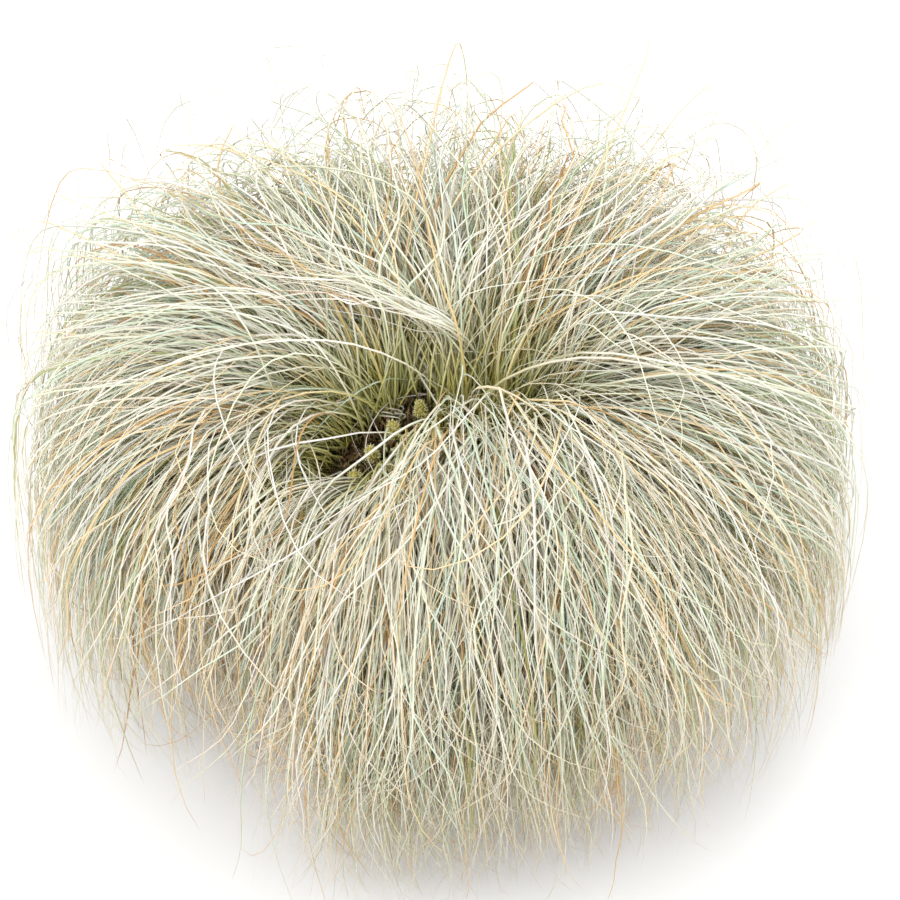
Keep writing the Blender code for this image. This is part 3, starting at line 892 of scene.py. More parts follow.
def leaf_paths(foot, share, turn, traits):
    """Fine paths of leaves, and the heading at every step. foot is (leaf, xyz), the rest one value a leaf."""
    habit = leaf_habit(share, turn)
    s = ((np.arange(FINE_STEPS) + 0.5) / FINE_STEPS)[None, :]
    in_calm = near_turn(turn, CALMED_TURN, CALMED_WIDTH)
    calm, calm_waves = 1 - (1 - CALMED_TO) * in_calm, 1 - (1 - CALMED_WAVES_TO) * in_calm
    risen = traits["rise"] * share * near_turn(turn, RISEN_TURN, RISEN_WIDTH)
    launch = (np.radians(habit["launch"] + traits["launch"]) - RISEN_BY * risen)[:, None]
    hang = np.radians(habit["hang"] + traits["hang"])[:, None]
    bend = (habit["bend"] * traits["bend"] * (1 - RISEN_STRAIGHTER * risen))[:, None]
    waves, phase = traits["waves"][:, None], traits["phase"][:, None]
    wave = np.sin(math.tau * waves * s + phase) * np.minimum(1.0, 2 * s)
    ripple = np.sin(RIPPLES * math.tau * waves * s - 2 * phase) * s**RIPPLE_POWER
    slope = hang - (hang - launch) * (1 - s) ** bend + traits["bob"][:, None] * wave
    heading = (comb(turn, share) + calm * traits["lean"])[:, None]
    heading = heading + (SWIRL * share + calm * traits["drift"])[:, None] * s**TURN_POWER
    heading += part_mop(turn, share, s)
    heading += traits["curl"][:, None] * np.maximum(0.0, s - CURL_FROM) ** 2
    slant = (calm * traits["slant"])[:, None] * s**SLANT_POWER
    slant += calm_waves[:, None] * (traits["sway"][:, None] * wave + traits["ripple"][:, None] * ripple)
    slant += HOOK * traits["curl"][:, None] * np.maximum(0.0, s - HOOK_FROM) ** 2
    step = (habit["length"] * traits["length"] * (1 - RISEN_SHORTER * risen) / FINE_STEPS)[:, None]
    outward = np.stack([np.cos(heading), np.sin(heading), np.zeros_like(heading)], axis=2)
    sideways = np.stack([-np.sin(heading), np.cos(heading), np.zeros_like(heading)], axis=2)
    moves = outward * np.sin(slope)[..., None] + sideways * slant[..., None] + np.cos(slope)[..., None] * UP
    moves /= np.linalg.norm(moves, axis=2, keepdims=True)
    paths = np.zeros((len(share), FINE_STEPS + 1, 3))
    paths[:, 1:] = np.cumsum(moves * step[:, :, None], axis=1)
    return paths + foot[:, None, :], np.concatenate([heading, heading[:, -1:]], axis=1)


sample_share, sample_turn = np.array((1.0, 1.0, 0.0)), np.radians((270.0, 90.0, 270.0))
sample_foot = stand_on_crown(sample_share, sample_turn, np.zeros((3, 2)))
plain_traits = {name: np.full(3, 1.0 if name in ("length", "bend") else 0.0) for name in TRAIT_NAMES}
sample_paths, _ = leaf_paths(sample_foot, sample_share, sample_turn, plain_traits)
print("front heart, back heart and skirt leaf, mm:")
print("highest", np.round(sample_paths[:, :, 2].max(axis=1) / MM))
print("furthest", np.round(np.abs(sample_paths[:, :, 1]).max(axis=1) / MM))


# %% [markdown]
# Keeping leaves off the clay and inside the model's box
#
# A leaf that swings sideways may dip into the pot's rim or run past the size of the part. A real one would
# slide off the rim, and so do ours: above the clay a leaf stays over the rim, beside the pot it stays
# outside, and near the box's sides its reach is eased back. Two things slip through. Nothing holds a leaf
# up over the crown, so a few that curl back run down into it and into the soil. And a blade is straight
# between two stations, so it may cut a corner of the rim. Both lie under the mop.

# %% Nudge leaf paths
RIM_CLEARANCE = 2.5 * MM
PAST_BOX = 3 * MM
BOX_ROUND = 2.7
EASE_BAND = 0.03
TOP_EASE_BAND = 0.014
FLOOR_CLEARANCE = 4 * MM


def ease_below(value, limit, band):
    """Leaves small values alone and lets large ones creep up to the limit without passing it."""
    start = limit - band
    over = np.maximum(0.0, value - start)
    return np.where(value > start, start + band * (1 - np.exp(-over / band)), value)


def box_reach(turn_x, turn_y):
    """How far a leaf may reach in a direction: a squared oval, PAST_BOX wider than the model's box."""
    limit_x = np.where(turn_x > 0, cad_high[0], -cad_low[0]) + PAST_BOX
    limit_y = np.where(turn_y > 0, cad_high[1], -cad_low[1]) + PAST_BOX
    return (np.abs(turn_x / limit_x) ** BOX_ROUND + np.abs(turn_y / limit_y) ** BOX_ROUND) ** (-1 / BOX_ROUND)


def keep_clear(paths):
    x, y, z = paths[..., 0], paths[..., 1], paths[..., 2]
    reach = np.maximum(1e-6, np.hypot(x, y))
    turn_x, turn_y = x / reach, y / reach
    z = ease_below(z, cad_high[2] + PAST_BOX, TOP_EASE_BAND)
    over_rim = np.clip((reach - CROWN_RADIUS) / (MOUTH_RADIUS - CROWN_RADIUS), 0, 1)
    has_left = np.maximum.accumulate(reach > RIM_RADIUS + RIM_CLEARANCE, axis=1)
    lowest = DOME_EDGE + (RIM_TOP + RIM_CLEARANCE - DOME_EDGE) * over_rim
    z = np.where(~has_left & (over_rim > 0), np.maximum(z, lowest), z)
    reach = np.where(has_left & (z < RIM_TOP), np.maximum(reach, RIM_RADIUS + RIM_CLEARANCE), reach)
    reach = ease_below(reach, box_reach(turn_x, turn_y), EASE_BAND)
    z = np.maximum(z, FLOOR_CLEARANCE)
    return np.stack([turn_x * reach, turn_y * reach, z], axis=-1)


print("reach allowed to the side, mm:", round(float(box_reach(1.0, 0.0)) / MM))


# %% [markdown]
# Looking into the parting
#
# The mop is parted in front of the crown's left side, and the picture looks right down into it. So no leaf
# but an odd one may lie between the eye and that hollow. To test a leaf, its points are put through the
# camera. A leaf with a point inside the wedge of the hollow is grown again further from the parting, as we
# see below. The edge of the wedge is ragged: each leaf has its own idea of how wide the hollow is.

# %% Find leaves over the parting
HOLLOW_FROM, HOLLOW_TO = np.array((434.0, 394.0)), np.array((335.0, 482.0))
HOLLOW_HALF_FROM, HOLLOW_HALF_TO = 4.0, 18.0
STRAYS_OVER_HOLLOW = 0.08
HOLLOW_RAGGED = (0.45, 1.3)


def to_picture(points):
    """Picture points that world points are seen at."""
    from_eye = points - eye_point
    nearer = CAMERA_DISTANCE / -(from_eye @ TO_CAMERA)
    across = from_eye[..., 0] * nearer / METRES_PER_PIXEL
    upward = (from_eye @ PICTURE_UP) * nearer / METRES_PER_PIXEL
    return np.stack([CROWN_PIXEL[0] + across, CROWN_PIXEL[1] - upward], axis=-1)


def over_hollow(paths, turn, ragged):
    """Whether each leaf has a point over the hollow or past it. ragged scales the hollow's width."""
    run = HOLLOW_TO - HOLLOW_FROM
    length = np.linalg.norm(run)
    offset = to_picture(paths) - HOLLOW_FROM
    along = offset @ (run / length)
    to_left = offset @ (np.array((-run[1], run[0])) / length)
    off_parting = turn_between(turn, PARTED_TURN)[:, None]
    on_own_side = np.where(off_parting < 0, to_left, -to_left)
    aside = np.where(np.abs(off_parting) < math.pi / 2, on_own_side, np.abs(to_left))
    half = HOLLOW_HALF_FROM + (HOLLOW_HALF_TO - HOLLOW_HALF_FROM) * np.clip(along / length, 0, 1)
    return ((along > 0) & (along < length) & (aside < half * ragged[:, None])).any(axis=1)


print("the crown's middle is seen at", np.round(to_picture(aim_point)))


# %% [markdown]
# Which way each tuft grows
#
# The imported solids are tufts: locks of leaves in four rows from the rim to the heart. Each solid starts
# with a ring of corners on the crown. From those corners we work back the directions that the tuft covers,
# so the fine leaves always stand where their tuft stands, also if the solids are laid out anew. The solids'
# feet stand on narrower ovals than the fine leaves' feet do, which spread over more of the crown.

# %% Read the tufts
TUFTS_WIDER_ALONG_X = 0.026
OVALS = 201
ROW_NAMES = ("skirt", "lower", "upper", "heart")
TUFTS = {row: sorted(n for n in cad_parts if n.startswith(row + "_leaf_tuft")) for row in ROW_NAMES}
FOOT_HEIGHT = 1.6 * MM


def foot_corners(node):
    """The corners of a tuft's solid that stand on the crown, as (x, y)."""
    points = np.array([vertex.co[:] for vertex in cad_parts[node].data.vertices])
    radius = np.hypot(points[:, 0], points[:, 1])
    standing = (radius < CROWN_RADIUS) & (points[:, 2] < dome_height(radius) + FOOT_HEIGHT)
    return points[standing, :2]


def growing_directions(feet):
    """The direction of each foot: the oval through it is looked for among all the ovals of the crown."""
    shares = np.linspace(0, 1, OVALS)[:, None]
    start = start_radius(shares)
    across = feet[:, 0] / (start + TUFTS_WIDER_ALONG_X * shares)
    along = feet[:, 1] / start
    best = np.abs(across**2 + along**2 - 1).argmin(axis=0)
    picked = np.arange(len(feet))
    return np.arctan2(along[best, picked], across[best, picked])


def tuft_direction(node):
    """The middle direction of a tuft and half the angle that it fills."""
    turns = growing_directions(foot_corners(node))
    middle = math.atan2(np.sin(turns).mean(), np.cos(turns).mean())
    return middle, float(np.abs(turn_between(turns, middle)).max())


for row in ROW_NAMES:
    directions = [tuft_direction(node) for node in TUFTS[row]]
    print(row, [(round(math.degrees(m)) % 360, round(math.degrees(h))) for m, h in directions])


# %% [markdown]
# Habits of leaves
#
# Leaves grow in shoots, and the leaves of a shoot fall much the same way, so a tuft is combed into locks.
# We give each lock its own place, lean, bend and length, and each leaf a small change of its own on top of
# that. But a mop is never only combed. So a leaf has one of four habits. Combed leaves lie underneath and
# follow their lock. Loose ones lie on top and cross their neighbours at a slant. Wild ones stand up, swing
# far round and curl at the tip. Young ones are short and point anywhere. Loose and wild leaves are paler
# than combed ones, partly as painted light: the top of the mop is drawn lighter and the layer under it
# darker.
#
# The tables give one value for each habit, in that order. Launch and hang are in degrees, and widths
# and scatter in millimetres.

# %% Set the habits of leaves
SEED = 19
RANDOM = np.random.default_rng(SEED)
HABITS = ("combed", "loose", "wild", "young")
HABIT_PARTS = (0.37, 0.33, 0.20, 0.10)
HABIT_SPREADS = {
    "launch": (5.0, 10.0, 12.0, 12.0),
    "hang": (3.0, 6.0, 10.0, 26.0),
    "bend": (0.10, 0.20, 0.32, 0.30),
    "lean": (0.16, 0.34, 0.55, 1.10),
    "drift": (0.28, 0.60, 1.05, 1.00),
    "slant": (0.15, 0.28, 0.44, 0.40),
    "sway": (0.12, 0.22, 0.30, 0.22),
    "ripple": (0.10, 0.20, 0.32, 0.16),
    "bob": (0.05, 0.11, 0.17, 0.12),
    "curl": (3.0, 6.0, 12.0, 10.0),
}
HABIT_DEPTHS = ((0.0, 0.7), (0.35, 1.0), (0.55, 1.0), (0.3, 1.0))
HABIT_LAUNCHES = (2.0, -6.0, -13.0, -5.0)
HABIT_LENGTHS = (1.0, 1.0, 0.96, 0.48)
HABIT_RISES = (0.25, 1.0, 1.1, 0.4)
# Where each habit sits on the colour ramp: loose and wild leaves paler than combed ones, partly painted light
# on the top of the mop and painted shade under it.
HABIT_KINDS_WITH_PAINTED_LIGHT = (0.36, 0.53, 0.58, 0.55)
HABIT_KIND_SPREADS = (0.16, 0.14, 0.14, 0.18)
HABIT_WIDTHS = (1.22, 1.36, 1.22, 1.10)
ROW_SETTINGS = {
    "skirt": {"blades": 92, "segments": 10, "thicker": 1.0,
              "paler": 0.06, "thatch": 0.42, "scatter": (5, 4)},
    "lower": {"blades": 150, "segments": 12, "thicker": 1.1,
              "paler": 0.05, "thatch": 0.32, "scatter": (8, 5)},
    "upper": {"blades": 285, "segments": 15, "thicker": 0.4,
              "paler": 0.03, "thatch": 0.16, "scatter": (14, 7)},
    "heart": {"blades": 468, "segments": 18, "thicker": 0.3,
              "paler": 0.0, "thatch": 0.11, "scatter": (21, 8)},
}
LOCKS = 9
LOCK_SPREADS = {"launch": 4.0, "hang": 2.5, "bend": 0.07, "lean": 0.06, "drift": 0.12, "length": 0.06,
                "kind": 0.05}
print({name: round(part * 100) for name, part in zip(HABITS, HABIT_PARTS)}, "percent")

# %% Draw traits and colours
SHORTENED, SHORTEST_LONGEST = 0.10, (0.5, 1.08)
RISE_RARITY = 1.5
WAVES = (0.7, 2.0)
LIVE_KINDS, DEAD_KINDS = (0.03, 0.84), (0.80, 1.0)


def choose_traits(lock, habit):
    """A value of each trait for each leaf: one part shared by its lock and one part its own, by its habit."""
    count = len(lock)
    traits = {}
    for name, spreads in HABIT_SPREADS.items():
        traits[name] = RANDOM.normal(0.0, 1.0, count) * np.array(spreads)[habit]
    for name in ("launch", "hang", "bend", "lean", "drift"):
        traits[name] += RANDOM.normal(0.0, LOCK_SPREADS[name], LOCKS)[lock]
    traits["launch"] += np.array(HABIT_LAUNCHES)[habit]
    traits["bend"] = np.exp(traits["bend"])
    lock_length = RANDOM.normal(0, LOCK_SPREADS["length"], LOCKS)[lock]
    own_length = np.clip(1.0 + lock_length - np.abs(RANDOM.normal(0, SHORTENED, count)), *SHORTEST_LONGEST)
    traits["length"] = np.array(HABIT_LENGTHS)[habit] * own_length
    traits["rise"] = np.array(HABIT_RISES)[habit] * RANDOM.random(count) ** RISE_RARITY
    traits["waves"] = RANDOM.uniform(*WAVES, count)
    traits["phase"] = RANDOM.uniform(0, math.tau, count)
    return traits


def choose_kinds(lock, habit, paler, thatch):
    """Where each leaf lies on the colour ramp. thatch is the share of dead leaves."""
    kind = np.array(HABIT_KINDS_WITH_PAINTED_LIGHT)[habit] + paler + RANDOM.normal(0, LOCK_SPREADS["kind"], LOCKS)[lock]
    kind += RANDOM.normal(0.0, 1.0, len(lock)) * np.array(HABIT_KIND_SPREADS)[habit]
    dead = RANDOM.random(len(lock)) < thatch
    return np.where(dead, RANDOM.uniform(*DEAD_KINDS, len(lock)), np.clip(kind, *LIVE_KINDS))


print("each leaf has", len(TRAIT_NAMES), "traits and a colour")


# %% [markdown]
# Stations where they count
#
# A fine path has far more steps than a blade can have. A leaf is nearly straight where it hangs and bends
# where it arches, so its stations stand close together in the bend. A pace that grows with the root of the
# bend gives the smoothest curve for the same number of stations.

# %% Pick the stations of a blade
STATION_EVENNESS = 0.35


def resample(paths, heading, segments):
    """Values of the fine paths at the stations of a blade, which stand closer where the leaf bends."""
    steps = np.diff(paths, axis=1)
    steps /= np.linalg.norm(steps, axis=2, keepdims=True)
    bend = np.sqrt(np.linalg.norm(np.diff(steps, axis=1), axis=2))
    pace = np.concatenate([bend[:, :1], bend], axis=1) + STATION_EVENNESS * bend.mean(axis=1, keepdims=True)
    gone = np.concatenate([np.zeros((len(paths), 1)), np.cumsum(pace, axis=1)], axis=1)
    marks, fine = np.arange(segments + 1) / segments, np.arange(paths.shape[1])
    place = np.array([np.interp(marks * own[-1], own, fine) for own in gone])
    before = np.minimum(place.astype(int), len(fine) - 2)
    part = place - before
    leaf = np.arange(len(paths))[:, None]
    points = paths[leaf, before] * (1 - part)[..., None] + paths[leaf, before + 1] * part[..., None]
    headings = heading[leaf, before] * (1 - part) + heading[leaf, before + 1] * part
    return place / fine[-1], points, headings


no_turn = np.zeros((1, FINE_STEPS + 1))
heart_stations, _, _ = resample(sample_paths[:1], no_turn, ROW_SETTINGS["heart"]["segments"])
print("stations of a heart leaf:", np.round(heart_stations[0], 2))


# %% [markdown]
# Placing the leaves of a tuft
#
# Combed leaves stay in the lower part of their row and loose ones in the upper part, so that the pale ones
# end on top, where their paleness is partly painted light. The solids leave a gap at the parting. Only the
# hollow is bare, so the leaves next to it spread over the rest of the gap.

# %% Place the leaves
GAP_HALF, GAP_BAND = math.radians(15), math.radians(52)
TOP_SHARE = 0.995
LEAF_FILL, LOCK_FILL, LOCK_LOOSENESS = 1.08, 0.92, 0.12


def close_gap(turn):
    """Spreads the leaves beside the gap over all of it but its bare middle."""
    off = turn_between(turn, PARTED_TURN)
    away = np.abs(off)
    closed = np.maximum(0.0, away - GAP_HALF) * GAP_BAND / (GAP_BAND - GAP_HALF)
    return turn + np.where(away < GAP_BAND, np.sign(off) * (closed - away), 0.0)


def place_leaves(row_number, middle, half_width, lock, habit):
    """Share and direction of each leaf of a tuft."""
    count = len(lock)
    lowest, highest = np.array(HABIT_DEPTHS).T
    depth = RANDOM.uniform(lowest[habit], highest[habit])
    share = (row_number + depth) / len(ROW_NAMES)
    own_turn = RANDOM.uniform(-LEAF_FILL, LEAF_FILL, count)
    lock_turn = RANDOM.uniform(-LOCK_FILL, LOCK_FILL, LOCKS)[lock] + RANDOM.normal(0, LOCK_LOOSENESS, count)
    turn = middle + half_width * np.where(habit == 0, lock_turn, own_turn)
    return np.minimum(share, TOP_SHARE), turn if row_number == 0 else close_gap(turn)


print("beside the parting", round(math.degrees(GAP_BAND)), "degrees close to", round(math.degrees(GAP_HALF)))


# %% [markdown]
# Growing the tufts
#
# A leaf that lies over the hollow steps away and is grown again, a few times if need be. Most of those near
# the parting step down to the rim of the crown at the hollow's far end, where they hide the pot, and the
# others step aside. Each tuft becomes a piece of its own, which stands in for its solid.

# %% Grow the leaves
TRIES = 4
STEP_ASIDE = (math.radians(4), math.radians(22))
STEP_DOWN_PART, STEP_DOWN_REACH = 0.7, math.radians(50)
STEP_DOWN_SHARE, STEP_DOWN_TURN = (0.0, 0.16), 0.45
WIDTH_SPREAD = 0.15
TWIST_AT_FOOT, TWIST_ALONG = 0.5, 1.3


def step_away(share, turn, again):
    """Moves the leaves that lie over the hollow aside, or down to the crown's rim at the hollow's far end."""
    off = turn_between(turn[again], PARTED_TURN)
    down = (np.abs(off) < STEP_DOWN_REACH) & (RANDOM.random(len(again)) < STEP_DOWN_PART)
    aside = turn[again] + np.where(off < 0, -1.0, 1.0) * RANDOM.uniform(*STEP_ASIDE, len(again))
    turn[again] = np.where(down, PARTED_TURN + STEP_DOWN_TURN * off, aside)
    share[again] = np.where(down, RANDOM.uniform(*STEP_DOWN_SHARE, len(again)), share[again])


def grow_paths(share, turn, lock, habit, scatter):
    """Paths, headings and whether to keep each leaf. A leaf over the hollow steps away and tries again."""
    count = len(share)
    paths, heading = np.zeros((count, FINE_STEPS + 1, 3)), np.zeros((count, FINE_STEPS + 1))
    again = np.arange(count)
    for _ in range(TRIES):
        own = {name: value[again] for name, value in choose_traits(lock, habit).items()}
        feet = stand_on_crown(share, turn, RANDOM.normal(0, 1, (count, 2)) * scatter)[again]
        tried, heading[again] = leaf_paths(feet, share[again], turn[again], own)
        paths[again] = keep_clear(tried)
        stray = RANDOM.random(len(again)) < STRAYS_OVER_HOLLOW
        ragged = np.where(stray, -np.inf, RANDOM.uniform(*HOLLOW_RAGGED, len(again)))
        again = again[over_hollow(paths[again], turn[again], ragged)]
        step_away(share, turn, again)
    keep = np.ones(count, bool)
    keep[again] = False
    return paths, heading, keep


def grow_tuft(node, row_number, row):
    """Makes a tuft's piece and gives the number of leaves, of triangles and of leaves that found no place."""
    settings = ROW_SETTINGS[row]
    middle, half_width = tuft_direction(node)
    count = round(settings["blades"] * (1 + settings["thicker"] * abs(float(near_parting(middle)))))
    lock = RANDOM.integers(0, LOCKS, count)
    habit = RANDOM.choice(len(HABITS), count, p=HABIT_PARTS)
    share, turn = place_leaves(row_number, middle, half_width, lock, habit)
    paths, heading, keep = grow_paths(share, turn, lock, habit, np.array(settings["scatter"]) * MM)
    stations, points, headings = resample(paths, heading, settings["segments"])
    width = np.array(HABIT_WIDTHS)[habit] * MM * np.exp(RANDOM.normal(0, WIDTH_SPREAD, count))
    twist = RANDOM.normal(0, 1.0, (count, 2)) * (TWIST_AT_FOOT, TWIST_ALONG)
    name = node.replace("_tuft_", "_blades_")
    kind = choose_kinds(lock, habit, settings["paler"], settings["thatch"])
    mesh = blade_mesh(name, *(value[keep] for value in (stations, points, headings, width, twist, kind)))
    blades = add_object(name, mesh, LEAF_MATERIALS[row])
    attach(blades, "root")
    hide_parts(node)
    return keep.sum(), triangle_count(mesh), count - keep.sum()


grown = [grow_tuft(node, number, row) for number, row in enumerate(ROW_NAMES) for node in TUFTS[row]]
leaf_total, triangle_total, left_out = (sum(values) for values in zip(*grown))
print(leaf_total, "leaves,", triangle_total, "triangles,", left_out, "found no place beside the hollow")


# %% [markdown]
# Sheaths round the shoots
#
# Every shoot stands in a short sheath, and the crown between the shoots is full of cut-off and new ones.
# They are stout, olive and upright, and they fill the crown where the long leaves have already bent away.
# They are blades like the leaves, only shorter and wider, and lean out more the further out they stand.

# %% Stand the sheaths on the crown
SHEATHS = 1100
SHEATH_SEGMENTS = 3
SHEATH_LENGTHS = (8 * MM, 36 * MM)
SHEATH_WIDTHS = (1.7 * MM, 3.2 * MM)
SHEATH_TILT, SHEATH_TILT_SPREAD = math.radians(34), 0.22
SHEATH_LOWEST_SHARE = 0.1
SHEATH_SCATTER = 16 * MM
SHEATH_BOW = 0.5
SHEATH_KIND, SHEATH_KIND_SPREAD = 0.16, 0.12
SHEATH_KINDS = (0.01, 0.9)


def stand_sheaths():
    turn = RANDOM.uniform(-math.pi, math.pi, SHEATHS)
    share = np.sqrt(RANDOM.random(SHEATHS)) * (1 - SHEATH_LOWEST_SHARE) + SHEATH_LOWEST_SHARE
    foot = stand_on_crown(share, turn, RANDOM.normal(0, SHEATH_SCATTER, (SHEATHS, 2)))
    from_axis = foot[:, :2] / CROWN_RADIUS
    tilt = SHEATH_TILT * from_axis + RANDOM.normal(0, SHEATH_TILT_SPREAD, (SHEATHS, 2))
    length = RANDOM.uniform(*SHEATH_LENGTHS, SHEATHS)
    stations = np.arange(SHEATH_SEGMENTS + 1) / SHEATH_SEGMENTS
    direction = np.concatenate([tilt, np.ones((SHEATHS, 1))], axis=1)
    direction /= np.linalg.norm(direction, axis=1, keepdims=True)
    points = foot[:, None] + direction[:, None] * (stations[None, :] * length[:, None])[..., None]
    points[..., :2] += tilt[:, None] * (stations**2)[None, :, None] * length[:, None, None] * SHEATH_BOW
    headings = np.repeat(RANDOM.uniform(-math.pi, math.pi, (SHEATHS, 1)), SHEATH_SEGMENTS + 1, axis=1)
    keep = ~over_hollow(points, turn, np.ones(SHEATHS))
    return stations, points[keep], headings[keep]


sheath_stations, sheath_points, sheath_headings = stand_sheaths()
sheath_count = len(sheath_points)
sheath_kinds = np.clip(RANDOM.normal(SHEATH_KIND, SHEATH_KIND_SPREAD, sheath_count), *SHEATH_KINDS)
sheath_widths = RANDOM.uniform(*SHEATH_WIDTHS, sheath_count)
sheath_mesh = blade_mesh("shoot_sheaths", sheath_stations, sheath_points, sheath_headings, sheath_widths,
                         np.zeros((sheath_count, 2)), sheath_kinds)
sheaths = add_object("shoot_sheaths", sheath_mesh, leaf_material("sheath", 0.9, 0.9))
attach(sheaths, "root")
print(sheath_count, "sheaths,", triangle_count(sheath_mesh), "triangles")


# %% [markdown]
# Stubble in the parting
#
# In the hollow itself the old shoots have died back to short stubble, most of it brown and some still
# olive. It is thick, so that little of the bare crown shows. Its colours are darkened to under a third,
# painted shade for the bottom of the hollow. The stubs are blades too, strewn along the line of the
# parting.

# %% Fill the parting with stubble
STUBBLE = 800
STUBBLE_LENGTHS = (4 * MM, 15 * MM)
STUBBLE_WIDTHS = (1.0 * MM, 2.4 * MM)
STUBBLE_ALONG = (-0.1, 1.0)
STUBBLE_SPREAD = 17 * MM
STUBBLE_TILT = 0.5
OLIVE_STUBS = 0.3
OLIVE_KINDS, BROWN_KINDS = (0.0, 0.1), (0.92, 1.0)


def stand_stubble():
    along = RANDOM.uniform(*STUBBLE_ALONG, STUBBLE)[:, None]
    place = PARTING_FROM + (PARTING_TO - PARTING_FROM) * along
    place += RANDOM.normal(0, STUBBLE_SPREAD, (STUBBLE, 2))
    place *= np.minimum(1.0, SKIRT_START / np.linalg.norm(place, axis=1))[:, None]
    foot = np.concatenate([place, (dome_height(np.linalg.norm(place, axis=1)) - MM)[:, None]], axis=1)
    direction = np.concatenate([RANDOM.normal(0, STUBBLE_TILT, (STUBBLE, 2)), np.ones((STUBBLE, 1))], axis=1)
    direction /= np.linalg.norm(direction, axis=1, keepdims=True)
    length = RANDOM.uniform(*STUBBLE_LENGTHS, STUBBLE)
    points = foot[:, None] + direction[:, None] * (sheath_stations[None, :] * length[:, None])[..., None]
    return points, np.repeat(RANDOM.uniform(-math.pi, math.pi, (STUBBLE, 1)), SHEATH_SEGMENTS + 1, axis=1)


stubble_points, stubble_headings = stand_stubble()
olive_stubs = RANDOM.random(STUBBLE) < OLIVE_STUBS
olive_kinds, brown_kinds = RANDOM.uniform(*OLIVE_KINDS, STUBBLE), RANDOM.uniform(*BROWN_KINDS, STUBBLE)
stubble_kinds = np.where(olive_stubs, olive_kinds, brown_kinds)
stubble_mesh = blade_mesh("dead_stubble", sheath_stations, stubble_points, stubble_headings,
                          RANDOM.uniform(*STUBBLE_WIDTHS, STUBBLE), np.zeros((STUBBLE, 2)), stubble_kinds)
# Brightness 0.30 darkens the stubble's colours: painted shade for the bottom of the hollow.
stubble_painted_shade = add_object("dead_stubble", stubble_mesh, leaf_material("stubble_painted_shade", 0.05, 0.30))
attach(stubble_painted_shade, "root")
print(STUBBLE, "stubs,", triangle_count(stubble_mesh), "triangles")


# %% [markdown]
# Flower spikes
#
# In the parting stand a few short spikes of fuzzy olive flowers. Each is a lumpy core with a spiral of
# bristles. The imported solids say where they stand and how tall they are: the foot is the middle of a
# solid's lowest corners and the tip is the corner furthest from it.

# %% Shape the flower spikes
SPIKES = sorted(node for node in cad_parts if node.startswith("flower_spike"))
SPIKE_RINGS, SPIKE_SIDES = 9, 10
SPIKE_LUMPS = 0.16
SPIKE_ENDS, SPIKE_BELLY = 0.45, 0.55
SWELL_SPAN, SWELL_START = 0.9, 0.12
BRISTLES = 230
BRISTLE_LENGTHS = (1.2 * MM, 3.6 * MM)
BRISTLE_WIDTH = 0.75 * MM
BRISTLE_SCATTER = 0.75
BRISTLE_STATIONS = np.array((0.0, 0.5, 1.0))
GOLDEN_ANGLE = math.radians(137.5)
SPIRAL_LOOSENESS = 0.2
BRISTLE_LEAN_AT_FOOT, BRISTLE_LEAN_MORE = 0.35, 1.5
BRISTLE_KIND, BRISTLE_KIND_SPREAD, BRISTLE_KINDS = 0.5, 0.2, (0.02, 0.98)
CORE_WIDTH, BRISTLE_FOOT_WIDTH = 0.8, 0.7
CORE_LENGTH, BRISTLED_LENGTH = 0.93, 0.94


def spike_axis(node):
    """Foot, tip and greatest radius of a packed flower spike."""
    points = np.array([vertex.co[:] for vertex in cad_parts[node].data.vertices])
    foot = points[points[:, 2] < points[:, 2].min() + MM].mean(axis=0)
    tip = points[np.linalg.norm(points - foot, axis=1).argmax()]
    axis = (tip - foot) / np.linalg.norm(tip - foot)
    off_axis = points - foot - np.outer((points - foot) @ axis, axis)
    return foot, tip, np.linalg.norm(off_axis, axis=1).max()


def side_directions(axis):
    """Two directions square to the axis and to each other."""
    first = np.cross(axis, (0.0, 1.0, 0.0))
    first /= np.linalg.norm(first)
    return first, np.cross(axis, first)


def spike_swell(part):
    """How thick a spike is along its length, from foot to tip."""
    return SPIKE_ENDS + SPIKE_BELLY * np.sin(math.pi * np.minimum(1.0, part * SWELL_SPAN + SWELL_START))


def spike_core(name, foot, tip, radius):
    """A closed core of rings, swollen in the middle, with lumps where the flowers sit."""
    first, second = side_directions((tip - foot) / np.linalg.norm(tip - foot))
    shape = bmesh.new()
    rings = []
    for ring in range(SPIKE_RINGS):
        part = ring / (SPIKE_RINGS - 1)
        half = radius * CORE_WIDTH * spike_swell(part)
        row = []
        for side in range(SPIKE_SIDES):
            turn = math.tau * (side + 0.5 * (ring % 2)) / SPIKE_SIDES
            lump = half * (1 + SPIKE_LUMPS * math.cos(math.pi * (side + ring)))
            outward = first * math.cos(turn) + second * math.sin(turn)
            row.append(shape.verts.new(foot + (tip - foot) * part * CORE_LENGTH + outward * lump))
        rings.append(row)
    for low, high in zip(rings, rings[1:]):
        for side in range(SPIKE_SIDES):
            after = (side + 1) % SPIKE_SIDES
            shape.faces.new((low[side], low[after], high[after], high[side]))
    shape.faces.new(rings[0][::-1])
    shape.faces.new(rings[-1])
    bmesh.ops.recalc_face_normals(shape, faces=shape.faces[:])
    return to_mesh(shape, name)


